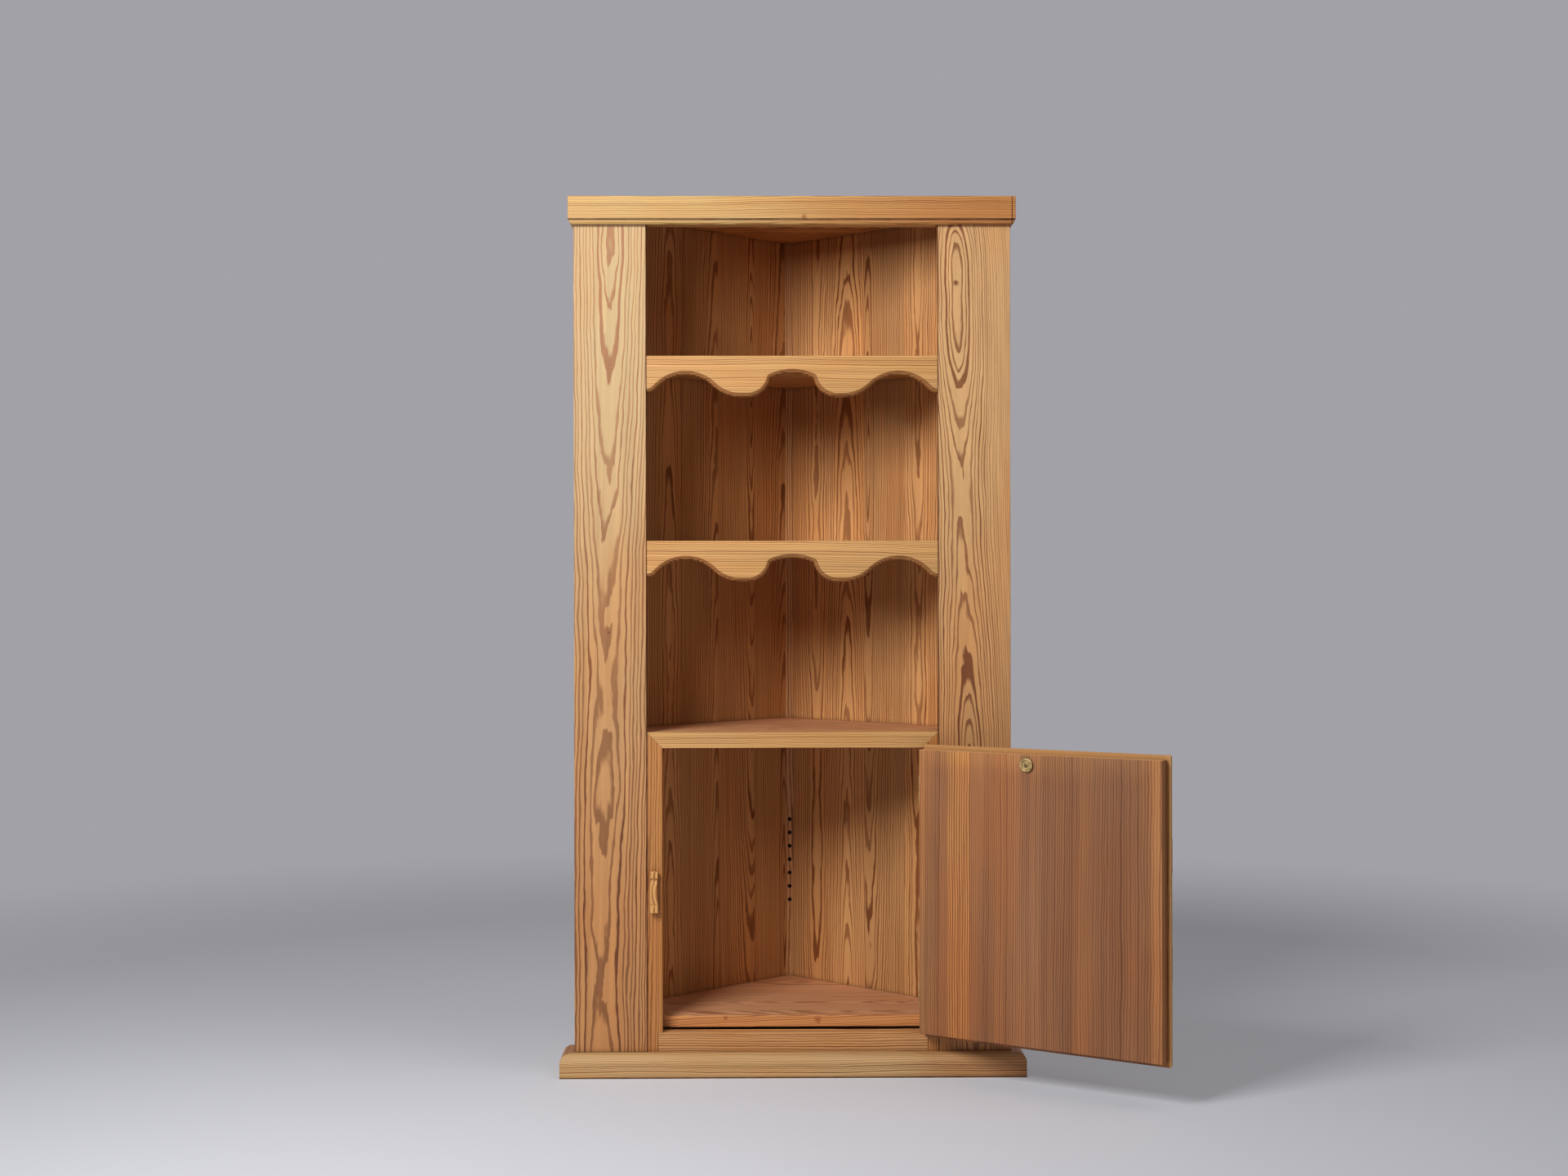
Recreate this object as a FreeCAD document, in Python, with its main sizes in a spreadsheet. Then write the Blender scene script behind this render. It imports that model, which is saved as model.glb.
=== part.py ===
import FreeCAD, Part
import math
import os

import Sketcher

# A free-standing corner cabinet in pine: three open shelves over a one-door cupboard.
# X runs to the right, Y away from the viewer, Z up, all in millimetres.
# The origin is on the floor, at the middle of the front, in the plane of the stiles' faces.
# The door stands open, as in the photograph, and the turn button stands upright.

os.makedirs("parts", exist_ok=True)

SIZES = [
    ("body_width", 940, "width over the two stiles"),
    ("cabinet_height", 1890, "floor to the top of the cornice"),
    ("side_depth", 76, "depth of the straight sides, from the front face"),
    ("wall_thickness", 15, "thickness of the two slanted back walls"),
    ("stile_width", 156, "width of a stile"),
    ("stile_thickness", 22, "thickness of a stile"),
    ("return_thickness", 22, "thickness of a side return"),
    ("post_width", 18, "width of the corner post between the walls"),
    ("top_thickness", 18, "thickness of the top board"),
    ("arris", 1, "small rounding of the front edges"),
    ("shelf_thickness", 22, "thickness of the shelves"),
    ("cupboard_top_level", 738, "level of the shelf that closes the cupboard"),
    ("floor_top", 121, "level of the cupboard floor"),
    ("floor_thickness", 24, "thickness of the cupboard floor"),
    ("floor_setback", 3, "gap between the bottom rail and the cupboard floor"),
    ("groove_depth", 5, "depth of the grooves that hold the shelves"),
    ("groove_clearance", 0.2, "play of a shelf in its groove"),
    ("header_height", 42, "height of the header behind the cornice"),
    ("frame_width", 33, "width of the cupboard frame's upright members"),
    ("frame_depth", 34, "depth of the header and the cupboard frame"),
    ("top_rail_height", 34, "height of the cupboard frame's top rail"),
    ("bottom_rail_top", 92, "top of the cupboard frame's bottom rail"),
    ("rail_lap", 10, "how far the bottom rail runs into each member"),
    ("apron_thickness", 22, "thickness of an apron"),
    ("apron_height", 88, "height of an apron at its lobes"),
    ("apron_end_drop", 79, "height of an apron at its ends"),
    ("arch_drop", 40.5, "height of an apron over its side arches"),
    ("centre_drop", 36.5, "height of an apron over its middle arch"),
    ("knee_drop", 47, "height of an apron at the corners of its middle arch"),
    ("apron_bevel", 5, "bevel of an apron's shaped lower edge"),
    ("cornice_projection", 11, "how far the cornice stands out"),
    ("fascia_height", 49, "height of the cornice's plain face"),
    ("cornice_quirk_depth", 1.8, "depth of the step under the plain face"),
    ("cornice_quirk_height", 2, "height of the step under the plain face"),
    ("cornice_bead_foot", 2.5, "how far the cornice stands out at its foot"),
    ("cornice_bead_radius", 9, "radius of the bead below the step"),
    ("plinth_height", 51, "height of the plinth"),
    ("plinth_projection", 30, "how far the plinth stands out"),
    ("plinth_round", 18, "radius of the plinth's upper edge"),
    ("pin_hole_radius", 4, "radius of a shelf pin hole"),
    ("pin_hole_depth", 12, "depth of a shelf pin hole"),
    ("pin_hole_pitch", 32, "distance between shelf pin holes"),
    ("pin_hole_centre", 399, "level of the middle shelf pin hole"),
    ("door_thickness", 24, "thickness of the door inside the opening"),
    ("lip_thickness", 6, "thickness of the door's lip over the frame"),
    ("lip_width", 9.5, "how far the lip stands out round the door"),
    ("lip_corner", 5, "rounding of the lip's two free corners"),
    ("lip_bevel", 1.5, "bevel of the lip's outer edge"),
    ("door_gap", 2, "gap round the door inside the opening"),
    ("hinge_gap", 2.6, "gap between the door's hinge edge and the frame"),
    ("face_gap", 0.3, "gap between the closed lip and the frame's face"),
    ("door_open_angle", 146, "how far the door stands open, in degrees"),
    ("pivot_side", 1, "hinge pin to the edge of the opening"),
    ("pivot_front", 3.3, "hinge pin to the frame's face"),
    ("knuckle_radius", 3, "outer radius of a hinge knuckle"),
    ("knuckle_gap", 0.3, "gap between two knuckles"),
    ("pin_radius", 1.5, "radius of a hinge pin"),
    ("pin_head_radius", 2.3, "radius of a hinge pin's heads"),
    ("pin_head_height", 1.6, "height of a hinge pin's heads"),
    ("running_clearance", 0.06, "play of a pin in its bore"),
    ("leaf_length", 60, "length of a hinge"),
    ("leaf_depth", 23, "depth of a hinge leaf from the knuckle"),
    ("leaf_thickness", 1.2, "thickness of a hinge leaf"),
    ("hinge_end_distance", 86, "hinge's middle to the end of the door"),
    ("leaf_screw_spacing", 36, "distance between the screws of a leaf"),
    ("screw_radius", 1.5, "radius of a screw's shank"),
    ("screw_head_radius", 2.5, "radius of a sunk screw head"),
    ("screw_length", 15, "length of a hinge screw"),
    ("screw_play", 0.05, "play of a screw in its hole"),
    ("button_length", 89, "length of the turn button"),
    ("button_width", 18, "width of the turn button"),
    ("button_thickness", 11, "thickness of the turn button's ends"),
    ("button_level", 396, "level of the turn button's pivot"),
    ("button_side", 17.5, "turn button's pivot to the edge of the opening"),
    ("button_block", 13, "length of the turn button's raised ends"),
    ("button_ledge", 5, "length of the slope behind each raised end"),
    ("button_hollow", 3, "depth of the hollow behind each raised end"),
    ("button_crown", 2, "rise of the turn button's middle"),
    ("button_round", 1.2, "rounding of the turn button's edges"),
    ("button_lift", 0.7, "gap between the closed door's lip and the button"),
    ("button_play", 0.3, "gap between the peg's collar and the frame"),
    ("peg_radius", 4, "radius of the turn button's peg"),
    ("peg_collar_radius", 7.5, "radius of the peg's collar"),
    ("peg_depth", 18, "how deep the peg sits in the frame"),
    ("peg_spigot", 6, "how far the peg reaches into the button"),
    ("pull_length", 295, "length of the door pull"),
    ("pull_foot", 65, "length of each foot of the door pull"),
    ("pull_width", 30, "width of the door pull's feet"),
    ("pull_projection", 26, "how far the door pull stands out"),
    ("pull_finger_gap", 14, "space behind the door pull's grip"),
    ("pull_edge_distance", 7.5, "door pull to the lip's free edge"),
    ("pull_waist_outer", 8, "hollow of the grip towards the free edge"),
    ("pull_waist_inner", 5, "hollow of the grip towards the hinges"),
    ("pull_bevel", 2.5, "bevel of the door pull's front edges"),
    ("dowel_radius", 4, "radius of the door pull's dowels"),
    ("dowel_depth", 16, "how deep a dowel sits in the door and in the pull"),
    ("plate_radius", 14.5, "radius of the brass plate inside the door"),
    ("plate_thickness", 2.6, "height of the brass plate's rim"),
    ("plate_web", 0.8, "thickness of the brass plate's floor"),
    ("plate_rim", 3, "width of the brass plate's flat rim"),
    ("plate_bevel", 1.2, "slope inside the brass plate's rim"),
    ("plate_drop", 22, "brass plate's middle below the door's top edge"),
    ("plate_from_hinge", 261, "brass plate's middle to the hinge pin"),
    ("plate_screw_head", 5.5, "radius of the brass plate's screw head"),
    ("plate_screw_rise", 1.6, "height of the brass plate's screw head"),
    ("recess_width", 1.4, "width of the cross in that screw head"),
]

# Shares of half the width between the stiles: middles of the side arches, corners of the
# middle arch and ends of the lobes.
arch_share = 0.729
knee_share = 0.1465
lobe_outer_share = 0.357
lobe_inner_share = 0.309
# Shares of an ogee's run that its first arc takes.
end_ogee_share = 0.75
side_ogee_share = 0.5
# Shares of the height between the cupboard's top and the top board.
upper_shelf_share = 0.7143
lower_shelf_share = 0.3633
# How closely an edge must lie to the place where it is looked for.
PICK = 0.001
PIN_HOLES = 7
FULL_TURN = 360

doc = FreeCAD.newDocument("corner_cabinet")
sheet = doc.addObject("Spreadsheet::Sheet", "Sizes")


class Size:
    """A length together with the sheet formula that gives it."""

    def __init__(self, value, text):
        self.value = float(value)
        self.text = text

    @staticmethod
    def of(other):
        return other if isinstance(other, Size) else Size(other, repr(other))

    def joined(self, other, sign, value):
        return Size(value, f"({self.text} {sign} {Size.of(other).text})")

    def __add__(self, other):
        return self.joined(other, "+", self.value + Size.of(other).value)

    def __sub__(self, other):
        return self.joined(other, "-", self.value - Size.of(other).value)

    def __mul__(self, other):
        return self.joined(other, "*", self.value * Size.of(other).value)

    def __truediv__(self, other):
        return self.joined(other, "/", self.value / Size.of(other).value)

    def __radd__(self, other):
        return Size.of(other) + self

    def __rsub__(self, other):
        return Size.of(other) - self

    def __rmul__(self, other):
        return Size.of(other) * self

    def __neg__(self):
        return Size(-self.value, f"(0 - {self.text})")


class Dimensions:
    """Every row of the sheet, as a Size under its own name."""

    def __init__(self, rows):
        for row, (alias, value, note) in enumerate(rows, 1):
            sheet.set(f"A{row}", note)
            sheet.set(f"B{row}", str(value))
            sheet.setAlias(f"B{row}", alias)
            setattr(self, alias, Size(value, f"Sizes.{alias}"))


d = Dimensions(SIZES)
doc.recompute()
ZERO = Size(0, "0")
ROOT_TWO = math.sqrt(2)
made = []


def new_body(label):
    """Start a sub-part and list it for export."""
    body = doc.addObject("PartDesign::Body", label)
    body.Label = label
    made.append(body)
    return body


def origin_feature(body, role):
    return next(f for f in body.Origin.OriginFeatures if f.Role == role)


def arc_edge(first, last, radius, side):
    """The shorter arc from first to last; side is 1 where its centre lies left of the way."""
    along = last - first
    left = FreeCAD.Vector(-along.y, along.x, 0).normalize() * side
    reach = math.sqrt(max(radius ** 2 - (along.Length / 2) ** 2, 0))
    centre = (first + last) * 0.5 + left * reach
    start, stop = (first, last) if side > 0 else (last, first)
    a = math.atan2(start.y - centre.y, start.x - centre.x)
    b = math.atan2(stop.y - centre.y, stop.x - centre.x)
    if b < a:
        b += 2 * math.pi
    return Part.ArcOfCircle(Part.Circle(centre, FreeCAD.Vector(0, 0, 1), radius), a, b)


def bind(sketch, kind, target, size):
    """Add one dimension to a sketch and tie it to the sheet."""
    if kind == "Radius":
        index = sketch.addConstraint(Sketcher.Constraint("Radius", target[0], size.value))
    elif abs(size.value) < PICK * PICK:
        axis = -2 if kind == "DistanceX" else -1
        sketch.addConstraint(Sketcher.Constraint("PointOnObject", target[0], target[1], axis))
        return
    else:
        index = sketch.addConstraint(
            Sketcher.Constraint(kind, -1, 1, target[0], target[1], size.value)
        )
    sketch.setExpression(f"Constraints[{index}]", size.text)


def draw(body, name, plane, start, outlines, circles=()):
    """Draw closed outlines and circles on one of the body's planes, moved to start.

    An outline is a list of points (x, y); a point (x, y, radius, side) begins an arc."""
    sketch = body.newObject("Sketcher::SketchObject", f"{body.Label}_{name}_sketch")
    sketch.AttachmentSupport = [(origin_feature(body, plane), "")]
    sketch.MapMode = "FlatFace"
    offset = -start if plane == "XZ_Plane" else start
    sketch.setExpression("AttachmentOffset.Base.z", offset.text)
    for outline in outlines:
        spots = [FreeCAD.Vector(Size.of(p[0]).value, Size.of(p[1]).value, 0) for p in outline]
        ends = []
        for k, point in enumerate(outline):
            first, last = spots[k], spots[(k + 1) % len(outline)]
            if len(point) == 2:
                ends.append((sketch.addGeometry(Part.LineSegment(first, last), False), 1, 2))
                continue
            arc = arc_edge(first, last, point[2].value, point[3])
            order = (1, 2) if point[3] > 0 else (2, 1)
            ends.append((sketch.addGeometry(arc, False), *order))
            bind(sketch, "Radius", ends[-1], point[2])
        for k, point in enumerate(outline):
            edge, following = ends[k], ends[(k + 1) % len(outline)]
            sketch.addConstraint(
                Sketcher.Constraint("Coincident", edge[0], edge[2], following[0], following[1])
            )
            bind(sketch, "DistanceX", edge, Size.of(point[0]))
            bind(sketch, "DistanceY", edge, Size.of(point[1]))
    for x, y, radius in circles:
        centre = FreeCAD.Vector(Size.of(x).value, Size.of(y).value, 0)
        ring = Part.Circle(centre, FreeCAD.Vector(0, 0, 1), radius.value)
        edge = (sketch.addGeometry(ring, False), 3)
        bind(sketch, "Radius", edge, radius)
        bind(sketch, "DistanceX", edge, Size.of(x))
        bind(sketch, "DistanceY", edge, Size.of(y))
    return sketch


def extrude(body, name, plane, start, length, outlines, circles=(), cut=False):
    """Pad or pocket a drawing from start, always towards the plane's far side of start."""
    before = body.Shape.Volume if body.Tip else 0
    sketch = draw(body, name, plane, start, outlines, circles)
    kind = "PartDesign::Pocket" if cut else "PartDesign::Pad"
    feature = body.newObject(kind, f"{body.Label}_{name}")
    feature.Profile = sketch
    feature.Reversed = (plane == "XZ_Plane") != cut
    feature.setExpression("Length", length.text)
    body.Tip = feature
    doc.recompute()
    change = body.Shape.Volume - before
    if change * (-1 if cut else 1) <= 0:
        raise RuntimeError(f"{feature.Label} changed nothing")
    return feature


def rectangle(x0, x1, y0, y1):
    return [(x0, y0), (x1, y0), (x1, y1), (x0, y1)]


def lies(edge, x=None, y=None, z=None):
    """Whether an edge lies at the given coordinates, each over its whole length."""
    box = edge.BoundBox
    spans = ((x, box.XMin, box.XMax), (y, box.YMin, box.YMax), (z, box.ZMin, box.ZMax))
    return all(
        wanted is None
        or (abs(low - Size.of(wanted).value) < PICK and abs(high - Size.of(wanted).value) < PICK)
        for wanted, low, high in spans
    )


def dress(body, name, kind, size_name, size, wanted):
    """Fillet or chamfer the edges of the tip that the test picks."""
    base = body.Tip
    picked = [f"Edge{n}" for n, edge in enumerate(base.Shape.Edges, 1) if wanted(edge)]
    if not picked:
        raise RuntimeError(f"{body.Label}: no edge for {name}")
    feature = body.newObject(kind, f"{body.Label}_{name}")
    feature.Base = (base, picked)
    feature.setExpression(size_name, size.text)
    body.Tip = feature
    doc.recompute()
    if "Invalid" in feature.State:
        raise RuntimeError(f"{feature.Label} failed on {len(picked)} edges")
    return feature


def fillet(body, name, radius, wanted):
    return dress(body, name, "PartDesign::Fillet", "Radius", radius, wanted)


def chamfer(body, name, size, wanted):
    return dress(body, name, "PartDesign::Chamfer", "Size", size, wanted)


def turn(body, name, plane, outline):
    """Turn a half profile, drawn as (radius, height), about the plane's upright axis."""
    sketch = draw(body, name, plane, ZERO, [outline])
    feature = body.newObject("PartDesign::Revolution", f"{body.Label}_{name}")
    feature.Profile = sketch
    feature.ReferenceAxis = (sketch, ["V_Axis"])
    feature.Angle = FULL_TURN
    body.Tip = feature
    doc.recompute()
    return feature


def repeat(body, name, feature, *rows):
    """Repeat a feature upwards, in one row or in rows of rows, each a (span, count)."""
    steps = []
    for n, (span, count) in enumerate(rows):
        step = doc.addObject("PartDesign::LinearPattern", f"{body.Label}_{name}_row_{n}")
        step.Direction = (origin_feature(body, "Z_Axis"), [""])
        step.setExpression("Length", span.text)
        step.Occurrences = count
        steps.append(step)
    pattern = body.newObject("PartDesign::MultiTransform", f"{body.Label}_{name}")
    pattern.Originals = [feature]
    pattern.Transformations = steps
    body.Tip = pattern
    doc.recompute()
    if "Invalid" in pattern.State:
        raise RuntimeError(f"{pattern.Label} failed")
    return pattern


def place(body, x=ZERO, y=ZERO, z=ZERO):
    """Put a body's own origin at x, y, z in the cabinet."""
    for axis, size in zip("xyz", (x, y, z)):
        body.setExpression(f"Placement.Base.{axis}", Size.of(size).text)
    doc.recompute()


def hang_on_door(body, x=ZERO, y=ZERO, z=ZERO):
    """Put a body on the open door: x, y, z are measured from the hinge pin with the door shut."""
    angle = f"{d.door_open_angle.text} * 1 deg"
    radians = math.radians(d.door_open_angle.value)
    cosine = Size(math.cos(radians), f"cos({angle})")
    sine = Size(math.sin(radians), f"sin({angle})")
    place(body, pivot_x + x * cosine - y * sine, pivot_y + x * sine + y * cosine, z)
    body.Placement.Rotation = FreeCAD.Rotation(FreeCAD.Vector(0, 0, 1), d.door_open_angle.value)
    body.setExpression("Placement.Rotation.Angle", angle)
    doc.recompute()


def both_sides():
    """The left and the right of the cabinet, with the sign of X on each."""
    return (("left", -1), ("right", 1))


# Planes and corners that several pieces share
half_body = d.body_width / 2
half_bay = half_body - d.stile_width
half_opening = half_bay - d.frame_width
half_post = d.post_width / 2
carcase_height = d.cabinet_height - d.top_thickness
open_height = carcase_height - d.cupboard_top_level
upper_shelf_top = d.cupboard_top_level + open_height * upper_shelf_share
lower_shelf_top = d.cupboard_top_level + open_height * lower_shelf_share
return_inside = half_body - d.return_thickness
wall_outer_sum = half_body + d.side_depth
wall_inner_sum = wall_outer_sum - d.wall_thickness * ROOT_TWO
post_front = wall_inner_sum - half_post
post_back = wall_outer_sum - half_post
wall_inner_front = wall_inner_sum - d.side_depth
groove_run = d.groove_depth * ROOT_TWO
tongue_run = (d.groove_depth - d.groove_clearance) * ROOT_TWO
opening_top = d.cupboard_top_level - d.top_rail_height
cornice_foot = carcase_height - d.header_height
pivot_x = half_opening + d.pivot_side
pivot_y = -d.pivot_front


def make_stile(side, sign):
    """A wide plain upright of the front, from the floor to the top board."""
    body = new_body(f"{side}_stile")
    plan = rectangle(sign * half_bay, sign * half_body, ZERO, d.stile_thickness)
    extrude(body, "board", "XY_Plane", ZERO, carcase_height, [plan])
    fillet(
        body, "arris", d.arris,
        lambda e: lies(e, y=0) and (lies(e, x=sign * half_bay) or lies(e, x=sign * half_body)),
    )


def make_return(side, sign):
    """The straight side behind a stile, with a row of holes for shelf pins."""
    body = new_body(f"{side}_side_return")
    plan = rectangle(sign * return_inside, sign * half_body, d.stile_thickness, d.side_depth)
    extrude(body, "board", "XY_Plane", ZERO, carcase_height, [plan])
    start = return_inside if sign > 0 else -return_inside - d.pin_hole_depth
    bore_pin_holes(body, "YZ_Plane", start, (d.stile_thickness + d.side_depth) / 2)


def bore_pin_holes(body, plane, start, across):
    """A row of blind holes for shelf pins, evenly spaced about their middle level."""
    span = d.pin_hole_pitch * (PIN_HOLES - 1)
    lowest = [(across, d.pin_hole_centre - span / 2, d.pin_hole_radius)]
    hole = extrude(body, "pin_hole", plane, start, d.pin_hole_depth, [], lowest, cut=True)
    repeat(body, "pin_holes", hole, (span, PIN_HOLES))


def make_wall(side, sign):
    """A back wall at 45 degrees, bevelled at both ends and grooved for the four boards."""
    body = new_body(f"{side}_wall_panel")
    plan = [
        (sign * half_body, d.side_depth),
        (sign * half_post, post_back),
        (sign * half_post, post_front),
        (sign * wall_inner_front, d.side_depth),
    ]
    extrude(body, "panel", "XY_Plane", ZERO, carcase_height, [plan])
    groove = [
        (sign * wall_inner_front, d.side_depth),
        (sign * half_post, post_front),
        (sign * half_post, post_front + groove_run),
        (sign * (wall_inner_front + groove_run), d.side_depth),
    ]
    for name, top, thickness in boards():
        bottom = top - thickness
        height = thickness + d.groove_clearance
        extrude(body, f"{name}_groove", "XY_Plane", bottom, height, [groove], cut=True)


def boards():
    """The four level boards: name, level of the top and thickness."""
    return (
        ("upper_shelf", upper_shelf_top, d.shelf_thickness),
        ("lower_shelf", lower_shelf_top, d.shelf_thickness),
        ("cupboard_top", d.cupboard_top_level, d.shelf_thickness),
        ("cupboard_floor", d.floor_top, d.floor_thickness),
    )


def board_plan(front, notch=None):
    """Outline of a level board: a straight front, side returns, tongues and the post's notch."""
    right = [
        (return_inside, front),
        (return_inside, d.side_depth),
        (wall_inner_front + tongue_run, d.side_depth),
        (half_post, post_front + tongue_run),
        (half_post, post_front),
    ]
    if notch is not None:
        right = [(half_bay, notch), (half_bay, front)] + right
    left = [(-point[0], point[1]) for point in reversed(right)]
    return right + left


def make_boards():
    """Two open shelves, the cupboard's top and its floor, held in the walls' grooves."""
    floor_front = d.frame_depth + d.floor_setback
    plans = {
        "upper_shelf": board_plan(d.stile_thickness),
        "lower_shelf": board_plan(d.stile_thickness),
        "cupboard_top": board_plan(d.stile_thickness, d.frame_depth),
        "cupboard_floor": board_plan(floor_front),
    }
    for name, top, thickness in boards():
        body = new_body(name)
        extrude(body, "board", "XY_Plane", top - thickness, thickness, [plans[name]])
        if name == "cupboard_floor":
            fillet(body, "arris", d.arris, lambda e: lies(e, y=floor_front, z=d.floor_top))


def make_post():
    """The upright strip in the corner between the walls, with its row of shelf pin holes."""
    body = new_body("corner_post")
    plan = rectangle(-half_post, half_post, post_front, post_back)
    extrude(body, "strip", "XY_Plane", ZERO, carcase_height, [plan])
    bore_pin_holes(body, "XZ_Plane", post_front, ZERO)


def make_top():
    """The top board over stiles, sides and walls."""
    body = new_body("top_board")
    plan = [
        (-half_body, ZERO),
        (half_body, ZERO),
        (half_body, d.side_depth),
        (half_post, post_back),
        (-half_post, post_back),
        (-half_body, d.side_depth),
    ]
    extrude(body, "board", "XY_Plane", carcase_height, d.top_thickness, [plan])


def make_header():
    """The rail behind the cornice that closes the front over the top bay."""
    body = new_body("header_rail")
    plan = rectangle(-half_bay, half_bay, ZERO, d.frame_depth)
    extrude(body, "rail", "XY_Plane", cornice_foot, d.header_height, [plan])


def cornice_profile(sign, face):
    """Cornice section as (outwards, up) from a face: plain fascia, step and bead below."""
    quirk_top = d.cabinet_height - d.fascia_height
    quirk_foot = quirk_top - d.cornice_quirk_height
    step = d.cornice_projection - d.cornice_quirk_depth
    side = 1 if sign > 0 else -1
    return [
        (face, cornice_foot),
        (face + sign * d.cornice_bead_foot, cornice_foot, d.cornice_bead_radius, side),
        (face + sign * step, quirk_foot),
        (face + sign * step, quirk_top),
        (face + sign * d.cornice_projection, quirk_top),
        (face + sign * d.cornice_projection, d.cabinet_height),
        (face, d.cabinet_height),
    ]


def plinth_profile(sign, face):
    """Plinth section as (outwards, up) from a face: a board with a round upper edge."""
    outer = face + sign * d.plinth_projection
    shoulder = outer - sign * d.plinth_round
    side = 1 if sign > 0 else -1
    return [
        (face, ZERO),
        (outer, ZERO),
        (outer, d.plinth_height - d.plinth_round, d.plinth_round, side),
        (shoulder, d.plinth_height),
        (face, d.plinth_height),
    ]


def make_moulding(name, profile, projection, bottom, height):
    """A moulding mitred round the front and both straight sides, in three lengths."""
    outer = half_body + projection
    front = new_body(f"{name}_front")
    length = outer * 2
    extrude(front, "run", "YZ_Plane", -outer, length, [profile(-1, ZERO)])
    mitres = [
        [(sign * outer, ZERO), (sign * half_body, ZERO), (sign * outer, -projection)]
        for _, sign in both_sides()
    ]
    extrude(front, "mitres", "XY_Plane", bottom, height, mitres, cut=True)
    for side, sign in both_sides():
        body = new_body(f"{name}_{side}")
        run = d.side_depth + projection
        extrude(body, "run", "XZ_Plane", -projection, run, [profile(sign, sign * half_body)])
        mitre = [
            (sign * half_body, ZERO),
            (sign * half_body, -projection),
            (sign * outer, -projection),
        ]
        extrude(body, "mitre", "XY_Plane", bottom, height, [mitre], cut=True)


def ogee(x0, z0, x1, z1, share):
    """Two arcs in an S from one level point to another, as outline points for both arcs.

    The arcs meet where share of the way is done, and their radii add up to
    (run squared + rise squared) / (2 * rise)."""
    run, rise = x1 - x0, z1 - z0
    way = 1 if run.value > 0 else -1
    up = 1 if rise.value > 0 else -1
    total = (run * run + rise * rise) / (rise * 2 * up)
    middle = (x0 + run * share, z0 + rise * share)
    side = way * up
    return [
        (x0, z0, total * share, side),
        (middle[0], middle[1], total * (1 - share), -side),
    ]


def sagitta_radius(half_chord, rise):
    """Radius of the arc that rises by rise over a chord twice half_chord long."""
    return (half_chord * half_chord + rise * rise) / (rise * 2)


def make_apron(name, top):
    """The shaped board under a shelf: three arches and two lobes with a bevelled lower edge."""
    body = new_body(f"{name}_apron")
    end = top - d.apron_end_drop
    arch, arch_level = half_bay * arch_share, top - d.arch_drop
    lobe_out, lobe_in = half_bay * lobe_outer_share, half_bay * lobe_inner_share
    lobe_level = top - d.apron_height
    centre_level = top - d.centre_drop
    knee, knee_level = half_bay * knee_share, top - d.knee_drop
    outline = [(half_bay, top), (-half_bay, top)]
    outline += ogee(-half_bay, end, -arch, arch_level, 1 - end_ogee_share)
    outline += ogee(-arch, arch_level, -lobe_out, lobe_level, side_ogee_share)
    outline += [(-lobe_out, lobe_level)]
    outline += [
        (-lobe_in, lobe_level, sagitta_radius(lobe_in - knee, knee_level - lobe_level), 1),
        (-knee, knee_level, sagitta_radius(knee, centre_level - knee_level), -1),
        (knee, knee_level, sagitta_radius(lobe_in - knee, knee_level - lobe_level), 1),
    ]
    outline += [(lobe_in, lobe_level)]
    outline += ogee(lobe_out, lobe_level, arch, arch_level, side_ogee_share)
    outline += ogee(arch, arch_level, half_bay, end, end_ogee_share)
    outline += [(half_bay, end)]
    extrude(body, "board", "XZ_Plane", ZERO, d.apron_thickness, [outline])
    chamfer(
        body, "shaped_edge", d.apron_bevel,
        lambda e: lies(e, y=0) and not lies(e, z=top)
        and not lies(e, x=half_bay) and not lies(e, x=-half_bay),
    )
    fillet(body, "arris", d.arris, lambda e: lies(e, y=0, z=top))


def make_frame():
    """The cupboard's face frame: a mitred top rail, two members and a housed bottom rail."""
    top = new_body("frame_top_rail")
    outline = [
        (-half_bay, d.cupboard_top_level),
        (-half_opening, opening_top),
        (half_opening, opening_top),
        (half_bay, d.cupboard_top_level),
    ]
    extrude(top, "rail", "XZ_Plane", ZERO, d.frame_depth, [outline])
    fillet(
        top, "arris", d.arris,
        lambda e: lies(e, y=0) and (lies(e, z=opening_top) or lies(e, z=d.cupboard_top_level)),
    )
    for side, sign in both_sides():
        member = new_body(f"frame_{side}_member")
        lap = half_opening + d.rail_lap
        outline = [
            (sign * half_opening, d.bottom_rail_top),
            (sign * half_opening, opening_top),
            (sign * half_bay, d.cupboard_top_level),
            (sign * half_bay, ZERO),
            (sign * lap, ZERO),
            (sign * lap, d.bottom_rail_top),
        ]
        extrude(member, "board", "XZ_Plane", ZERO, d.frame_depth, [outline])
        fillet(
            member, "arris", d.arris,
            lambda e: lies(e, y=0)
            and (lies(e, x=sign * half_opening) or lies(e, x=sign * half_bay)),
        )
        if sign > 0:
            screws = [
                (d.leaf_depth / 2 + pivot_y + d.knuckle_radius, level, d.screw_radius + d.screw_play)
                for level in screw_levels()
            ]
            extrude(
                member, "hinge_screw_holes", "YZ_Plane", half_opening,
                d.screw_length, [], screws, cut=True,
            )
        else:
            radius = d.peg_radius + d.running_clearance
            hole = [(-half_opening - d.button_side, d.button_level, radius)]
            depth = d.peg_depth + d.button_play
            extrude(member, "peg_hole", "XZ_Plane", ZERO, depth, [], hole, cut=True)
    bottom = new_body("frame_bottom_rail")
    lap = half_opening + d.rail_lap
    plan = rectangle(-lap, lap, ZERO, d.frame_depth)
    extrude(bottom, "rail", "XY_Plane", ZERO, d.bottom_rail_top, [plan])
    fillet(bottom, "arris", d.arris, lambda e: lies(e, y=0, z=d.bottom_rail_top))


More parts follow.
